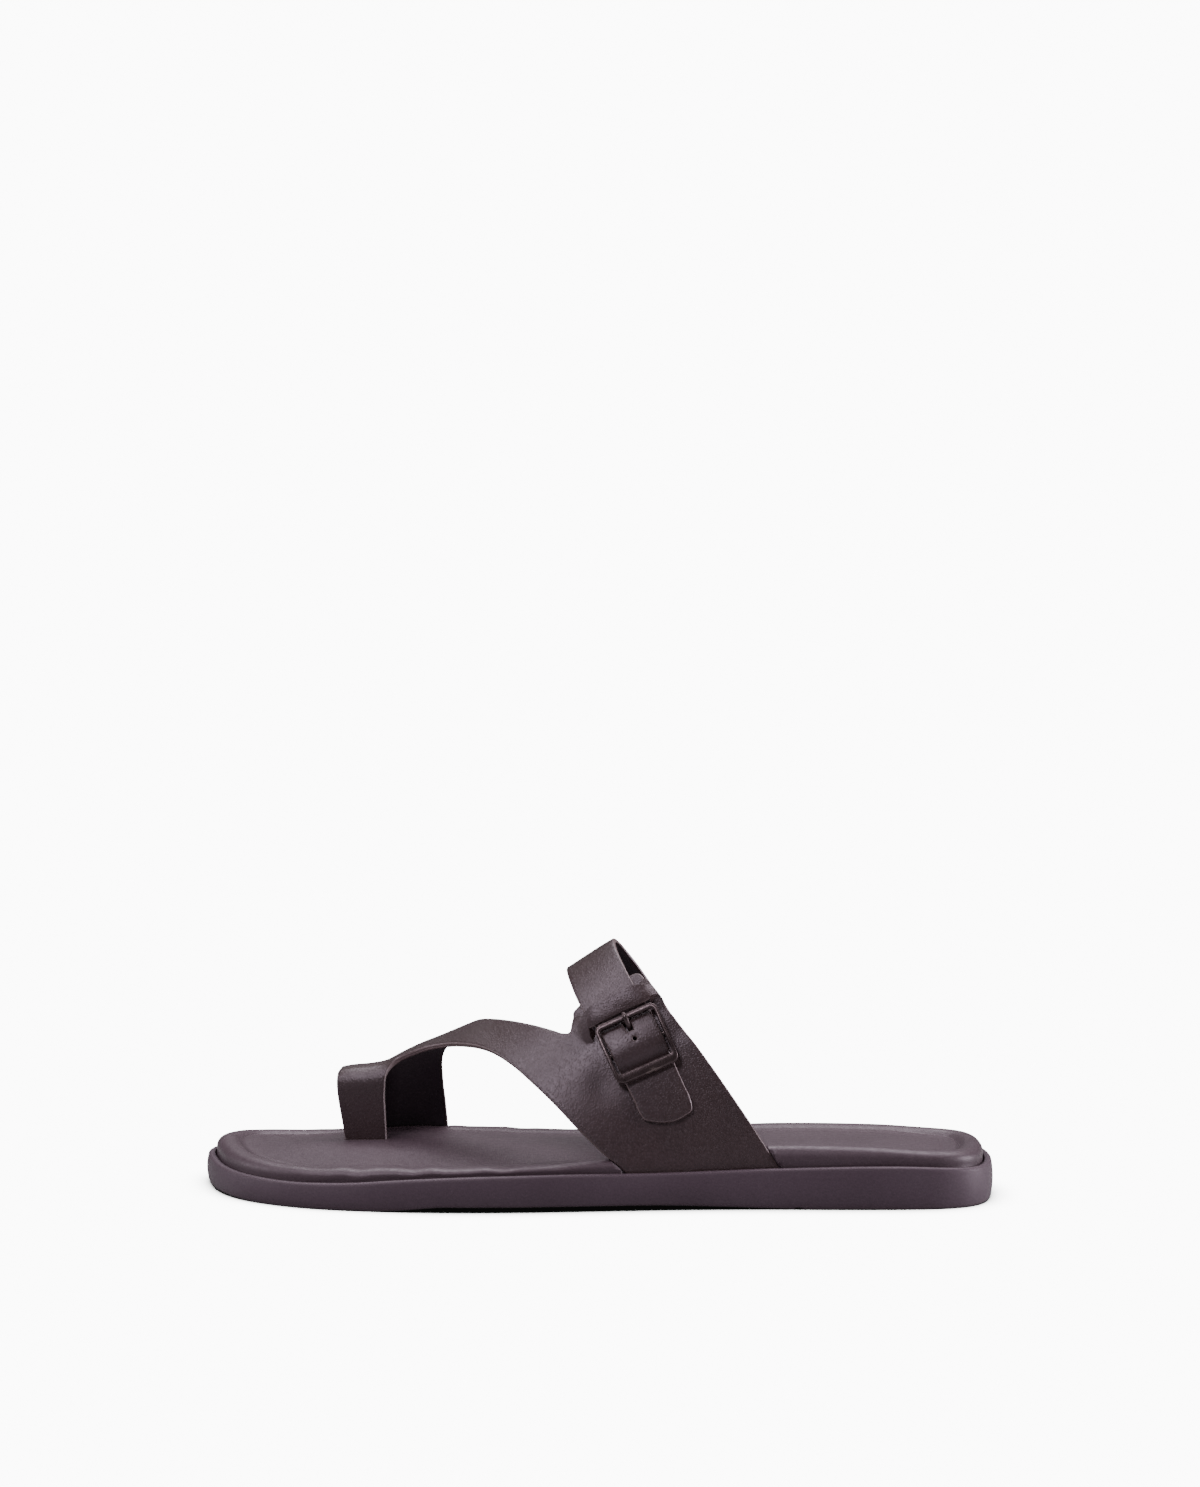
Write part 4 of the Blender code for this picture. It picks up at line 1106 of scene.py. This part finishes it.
def socket_group(name, inputs, outputs):
    """Empty shader group with named sockets; returns the tree, its input and output nodes."""
    tree = bpy.data.node_groups.new(name, "ShaderNodeTree")
    for label, kind, value in inputs:
        socket = tree.interface.new_socket(label, in_out="INPUT", socket_type=kind)
        if value is not None:
            socket.default_value = value
    for label, kind in outputs:
        tree.interface.new_socket(label, in_out="OUTPUT", socket_type=kind)
    return tree, tree.nodes.new("NodeGroupInput"), tree.nodes.new("NodeGroupOutput")


def node(tree, kind, links=(), **settings):
    """A node with its settings, its inputs linked or set by name or number."""
    made = tree.nodes.new(kind)
    for key, value in settings.items():
        setattr(made, key, value)
    for label, value in dict(links).items():
        if isinstance(value, bpy.types.NodeSocket):
            tree.links.new(value, made.inputs[label])
        else:
            made.inputs[label].default_value = value
    return made


def ramp(tree, value, low, high, to_low=0.0, to_high=1.0):
    """A smooth step of a value between two places."""
    made = node(tree, "ShaderNodeMapRange", {"Value": value, "From Min": low, "From Max": high,
                                             "To Min": to_low, "To Max": to_high},
                interpolation_type="SMOOTHSTEP")
    return made.outputs["Result"]


def blend_colour(tree, amount, first, second):
    """A mix of two colours, each typed or from a socket."""
    made = node(tree, "ShaderNodeMix", {"Factor": amount}, data_type="RGBA")
    for socket, value in ((made.inputs[6], first), (made.inputs[7], second)):
        if isinstance(value, bpy.types.NodeSocket):
            tree.links.new(value, socket)
        else:
            socket.default_value = (*value, 1.0)
    return made.outputs[2]


def maths(tree, operation, first, second):
    return node(tree, "ShaderNodeMath", {0: first, 1: second}, operation=operation).outputs[0]


def vector_maths(tree, operation, first, second, label=1):
    made = node(tree, "ShaderNodeVectorMath", {0: first, label: second}, operation=operation)
    return made.outputs[0]


def noise(tree, place, scale, **more):
    """Noise of a scale in a metre."""
    return node(tree, "ShaderNodeTexNoise", {"Vector": place, "Scale": scale, **more})


def pebble_group():
    """Pebbled grain of leather: rounded cells with fine pores between them."""
    tree, start, end = socket_group(
        "pebbled_grain",
        (("Position", "NodeSocketVector", None), ("Cells", "NodeSocketFloat", LEATHER_CELLS),
         ("Pores", "NodeSocketFloat", 0.3)),
        (("Height", "NodeSocketFloat"), ("Valley", "NodeSocketFloat")))
    place, cells = start.outputs["Position"], start.outputs["Cells"]
    drift = noise(tree, place, maths(tree, "MULTIPLY", cells, 0.4), Detail=1.0)
    shift = vector_maths(tree, "SUBTRACT", drift.outputs["Color"], (0.5, 0.5, 0.5))
    amount = vector_maths(tree, "SCALE", shift, 0.0006, "Scale")
    moved = vector_maths(tree, "ADD", place, amount)
    pebble = node(tree, "ShaderNodeTexVoronoi", {"Vector": moved, "Scale": cells,
                                                 "Smoothness": 0.35}, feature="SMOOTH_F1")
    pore = noise(tree, place, maths(tree, "MULTIPLY", cells, 2.6), Detail=2.0)
    dome = ramp(tree, pebble.outputs["Distance"], 0.62, 0.05)
    fine = maths(tree, "MULTIPLY", pore.outputs["Fac"], start.outputs["Pores"])
    tree.links.new(maths(tree, "ADD", dome, fine), end.inputs["Height"])
    tree.links.new(ramp(tree, pebble.outputs["Distance"], 0.35, 0.70), end.inputs["Valley"])
    return tree


def mottle_group():
    """Broad and fine unevenness of a dyed or moulded surface, from 0 to 1."""
    tree, start, end = socket_group(
        "mottled_tone",
        (("Position", "NodeSocketVector", None), ("Broad", "NodeSocketFloat", 45.0),
         ("Fine", "NodeSocketFloat", 600.0)),
        (("Broad Tone", "NodeSocketFloat"), ("Fine Tone", "NodeSocketFloat")))
    place = start.outputs["Position"]
    broad = noise(tree, place, start.outputs["Broad"], Detail=3.0, Roughness=0.55)
    fine = noise(tree, place, start.outputs["Fine"], Detail=3.0, Roughness=0.6)
    tree.links.new(ramp(tree, broad.outputs["Fac"], 0.32, 0.68), end.inputs["Broad Tone"])
    tree.links.new(ramp(tree, fine.outputs["Fac"], 0.30, 0.70), end.inputs["Fine Tone"])
    return tree


def finish_base(name):
    """An empty material: its tree, its shader and the place of each point."""
    made = bpy.data.materials.new(name)
    made.use_nodes = True
    tree = made.node_tree
    shader = tree.nodes["Principled BSDF"]
    place = tree.nodes.new("ShaderNodeTexCoord").outputs["Object"]
    return made, tree, shader, place


def use_group(tree, group, links):
    return node(tree, "ShaderNodeGroup", links, node_tree=group)


def mark(tree, name):
    """A number that the points of a piece carry."""
    return node(tree, "ShaderNodeAttribute", attribute_name=name).outputs["Fac"]


def complete(tree, shader, colour, gloss, height, depth):
    """Gives a finish its colour, its gloss and bumps of a depth in metres."""
    bump = node(tree, "ShaderNodeBump", {"Height": height, "Strength": 1.0, "Distance": depth})
    tree.links.new(colour, shader.inputs["Base Color"])
    tree.links.new(gloss, shader.inputs["Roughness"])
    tree.links.new(bump.outputs["Normal"], shader.inputs["Normal"])
    shader.inputs["Specular Tint"].default_value = (*SHEEN_TINT, 1.0)


def leather_finish(name, pebble, mottle):
    """Dyed pebbled leather; paler cut edges, partly painted highlight; smooth lining in painted shade.
    """
    made, tree, shader, place = finish_base(name)
    grain = use_group(tree, pebble, {"Position": place, "Cells": LEATHER_CELLS})
    tone = use_group(tree, mottle, {"Position": place})
    edge, lined = mark(tree, "cut_edge"), ramp(tree, mark(tree, "lining"), 0.6, 0.9)
    colour = blend_colour(tree, tone.outputs["Broad Tone"], LEATHER_DARK, LEATHER_LIGHT)
    shade = maths(tree, "MULTIPLY", grain.outputs["Valley"], 0.20)
    colour = blend_colour(tree, shade, colour, tuple(0.55 * c for c in LEATHER_DARK))
    # Painted shade: the lining inside the upper is darkened
    colour = blend_colour(tree, lined, colour, LINING_PAINTED_SHADE)
    # Paler cut edges, partly their own colour and partly a painted highlight along them
    colour = blend_colour(tree, maths(tree, "MULTIPLY", edge, 0.85), colour, PALE_EDGE_AND_HIGHLIGHT)
    gloss = ramp(tree, tone.outputs["Fine Tone"], 0.0, 1.0, *LEATHER_GLOSS)
    gloss = maths(tree, "ADD", gloss, maths(tree, "MULTIPLY", lined, 0.18))
    height = maths(tree, "MULTIPLY", grain.outputs["Height"],
                   ramp(tree, maths(tree, "MAXIMUM", edge, lined), 0.0, 1.0, 1.0, 0.25))
    shader.inputs["Specular IOR Level"].default_value = 0.75
    complete(tree, shader, colour, gloss, height, LEATHER_BUMP)
    return made


def cover_finish(name, pebble, mottle):
    """Thin leather that wraps the footbed: finer grain and a softer gloss."""
    made, tree, shader, place = finish_base(name)
    grain = use_group(tree, pebble, {"Position": place, "Cells": COVER_CELLS, "Pores": 0.5})
    tone = use_group(tree, mottle, {"Position": place, "Broad": 28.0, "Fine": 420.0})
    colour = blend_colour(tree, tone.outputs["Broad Tone"], COVER_DARK, COVER_LIGHT)
    shade = maths(tree, "MULTIPLY", grain.outputs["Valley"], 0.25)
    colour = blend_colour(tree, shade, colour, COVER_VALLEY)
    gloss = ramp(tree, tone.outputs["Fine Tone"], 0.0, 1.0, *COVER_GLOSS)
    height = maths(tree, "ADD", grain.outputs["Height"],
                   maths(tree, "MULTIPLY", tone.outputs["Fine Tone"], 0.8))
    complete(tree, shader, colour, gloss, height, SKIN_BUMP)
    return made


def rubber_finish(name, mottle):
    """Moulded sole rubber: matte, with a fine eroded skin and faint dust in it."""
    made, tree, shader, place = finish_base(name)
    tone = use_group(tree, mottle, {"Position": place, "Broad": 22.0, "Fine": 2600.0})
    speck = noise(tree, place, 900.0, Detail=4.0).outputs["Fac"]
    colour = blend_colour(tree, tone.outputs["Broad Tone"], RUBBER_DARK, RUBBER_LIGHT)
    dust = maths(tree, "MULTIPLY", ramp(tree, speck, 0.60, 0.78), 0.22)
    colour = blend_colour(tree, dust, colour, RUBBER_DUST)
    gloss = ramp(tree, tone.outputs["Fine Tone"], 0.0, 1.0, *RUBBER_GLOSS)
    height = maths(tree, "ADD", tone.outputs["Fine Tone"], maths(tree, "MULTIPLY", speck, 1.5))
    complete(tree, shader, colour, gloss, height, SKIN_BUMP)
    return made


def painted_metal_finish(name, mottle):
    """Dark satin paint over metal, brighter on sharp edges: partly rubbed thin, partly painted
    highlight.
    """
    made, tree, shader, place = finish_base(name)
    tone = use_group(tree, mottle, {"Position": place, "Broad": 260.0, "Fine": 3000.0})
    rub = node(tree, "ShaderNodeNewGeometry").outputs["Pointiness"]
    # Brighter sharp edges: partly rubbed paint, partly a painted highlight
    rub_and_highlight = maths(tree, "MULTIPLY", ramp(tree, rub, 0.52, 0.62), 0.5)
    colour = blend_colour(tree, tone.outputs["Broad Tone"], PAINT_DARK, PAINT_LIGHT)
    colour = blend_colour(tree, rub_and_highlight, colour, PAINT_RUB_AND_HIGHLIGHT)
    gloss = ramp(tree, tone.outputs["Fine Tone"], 0.0, 1.0, *PAINT_GLOSS)
    shader.inputs["Metallic"].default_value = 0.5
    complete(tree, shader, colour, gloss, tone.outputs["Fine Tone"], PAINT_BUMP)
    return made


def add_camera():
    """Camera level from side to side, pitched so that the aim falls low in the tall frame."""
    turn, rise = CAMERA_TURN, CAMERA_RISE
    back = np.array([math.sin(turn) * math.cos(rise), -math.cos(turn) * math.cos(rise),
                     math.sin(rise)])
    pitch = rise - math.atan((AIM_PIXEL[1] - FRAME_PIXELS[1] / 2) / FOCAL_PIXELS)
    right = np.array([math.cos(turn), math.sin(turn), 0.0])
    ahead = np.array([-math.sin(turn) * math.cos(pitch), math.cos(turn) * math.cos(pitch),
                      -math.sin(pitch)])
    up = np.cross(right, ahead)
    aside = (FRAME_PIXELS[0] / 2 - AIM_PIXEL[0]) / FOCAL_PIXELS * CAMERA_DISTANCE
    spot = np.array(CAMERA_AIM) + CAMERA_DISTANCE * back + aside * right
    data = bpy.data.cameras.new("camera")
    data.sensor_width = SENSOR
    data.lens = FOCAL_PIXELS * SENSOR / FRAME_PIXELS[1]
    camera = bpy.data.objects.new("camera", data)
    turned = Matrix((right, up, -ahead)).transposed().to_4x4()
    camera.matrix_world = Matrix.Translation([float(v) for v in spot]) @ turned
    bpy.context.scene.collection.objects.link(camera)
    bpy.context.scene.camera = camera


def studio_paper():
    """White paper: glows white to the camera but for a painted contact shadow; a soft bounce and faint
    glow.
    """
    paper = bpy.data.materials.new("studio_paper")
    paper.use_nodes = True
    tree = paper.node_tree
    tree.nodes.clear()
    seen = tree.nodes.new("ShaderNodeLightPath").outputs["Is Camera Ray"]
    # Painted contact shadow: the paper's white glow to the camera dims with ambient occlusion
    near = node(tree, "ShaderNodeAmbientOcclusion", {"Distance": SHADOW_REACH}, samples=12)
    white_with_painted_shadow = ramp(tree, near.outputs["AO"], *SHADOW_OPEN, SHADOW_GLOW, STUDIO_WHITE)
    strength = node(tree, "ShaderNodeMapRange", {"Value": seen, "To Min": PAPER_GLOW,
                                                 "To Max": white_with_painted_shadow})
    glow = node(tree, "ShaderNodeEmission", {"Color": (1.0, 1.0, 1.0, 1.0),
                                             "Strength": strength.outputs["Result"]})
    bounce = ramp(tree, seen, 0.0, 1.0, PAPER_WHITE, 0.0)
    surface = node(tree, "ShaderNodeBsdfDiffuse", {"Color": bounce})
    both = node(tree, "ShaderNodeAddShader", {0: surface.outputs[0], 1: glow.outputs[0]})
    out = node(tree, "ShaderNodeOutputMaterial")
    tree.links.new(both.outputs[0], out.inputs["Surface"])
    return paper


def add_studio():
    """Pale floor that curves up into the backdrop, soft lights and a white surround."""
    profile = [(-FLOOR_SPAN, 0.0), (FLOOR_BACK, 0.0)]
    for k in range(1, WALL_STEPS + 1):
        angle = math.radians(90 * k / WALL_STEPS)
        profile.append((FLOOR_BACK + WALL_ROUND * math.sin(angle),
                        WALL_ROUND * (1 - math.cos(angle))))
    profile.append((FLOOR_BACK + WALL_ROUND, WALL_HEIGHT))
    points = [(x, y, z) for x in (-FLOOR_SPAN, FLOOR_SPAN) for y, z in profile]
    count = len(profile)
    faces = [(i, i + count, i + count + 1, i + 1) for i in range(count - 1)]
    floor = add_object("studio_floor", points, faces, studio_paper())
    if floor.data.polygons[0].normal.z < 0:
        floor.data.flip_normals()
    for name, spot, size, power in LIGHTS:
        data = bpy.data.lights.new(name, "AREA")
        data.shape = "RECTANGLE"
        data.size, data.size_y = size
        data.energy = power
        light = bpy.data.objects.new(name, data)
        aim = np.array(CAMERA_AIM) - spot
        light.rotation_euler = Vector(aim).to_track_quat("-Z", "Y").to_euler()
        light.location = spot
        bpy.context.scene.collection.objects.link(light)
    world = bpy.data.worlds.new("studio")
    world.use_nodes = True
    tree = world.node_tree
    glow = tree.nodes["Background"]
    glow.inputs["Color"].default_value = (1.0, 1.0, 1.0, 1.0)
    path = tree.nodes.new("ShaderNodeLightPath")
    mix = node(tree, "ShaderNodeMapRange", {"Value": path.outputs["Is Camera Ray"],
                                            "To Min": SKY_GLOW, "To Max": STUDIO_WHITE})
    tree.links.new(mix.outputs["Result"], glow.inputs["Strength"])
    bpy.context.scene.world = world


def soften(piece):
    """Smooth shading in which the large faces keep their own direction."""
    piece.data.shade_smooth()
    made = piece.modifiers.new("face_weights", "WEIGHTED_NORMAL")
    made.keep_sharp = True


def main():
    pebble, mottle = pebble_group(), mottle_group()
    rubber = rubber_finish("sole_rubber", mottle)
    cover = cover_finish("footbed_cover", pebble, mottle)
    hide = leather_finish("upper_hide", pebble, mottle)
    paint = painted_metal_finish("buckle_paint", mottle)
    sole = build_fine_sole(rubber)
    footbed = build_fine_footbed(cover)
    upper = build_fine_upper(hide)
    strap = build_fine_strap(hide)
    frame_piece = build_fine_buckle(paint)
    prong = build_fine_prong(paint)
    for piece, covered, slot in (
            (sole, "sole", "sole_rubber"), (footbed, "footbed", "footbed_leather"),
            (upper, "upper", "upper_leather"), (strap, "instep_strap", "upper_leather"),
            (frame_piece, "buckle_frame", "buckle_paint"), (prong, "buckle_prong", "buckle_paint")):
        soften(piece)
        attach(piece, "root")
        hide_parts(covered)
    add_studio()
    add_camera()


main()
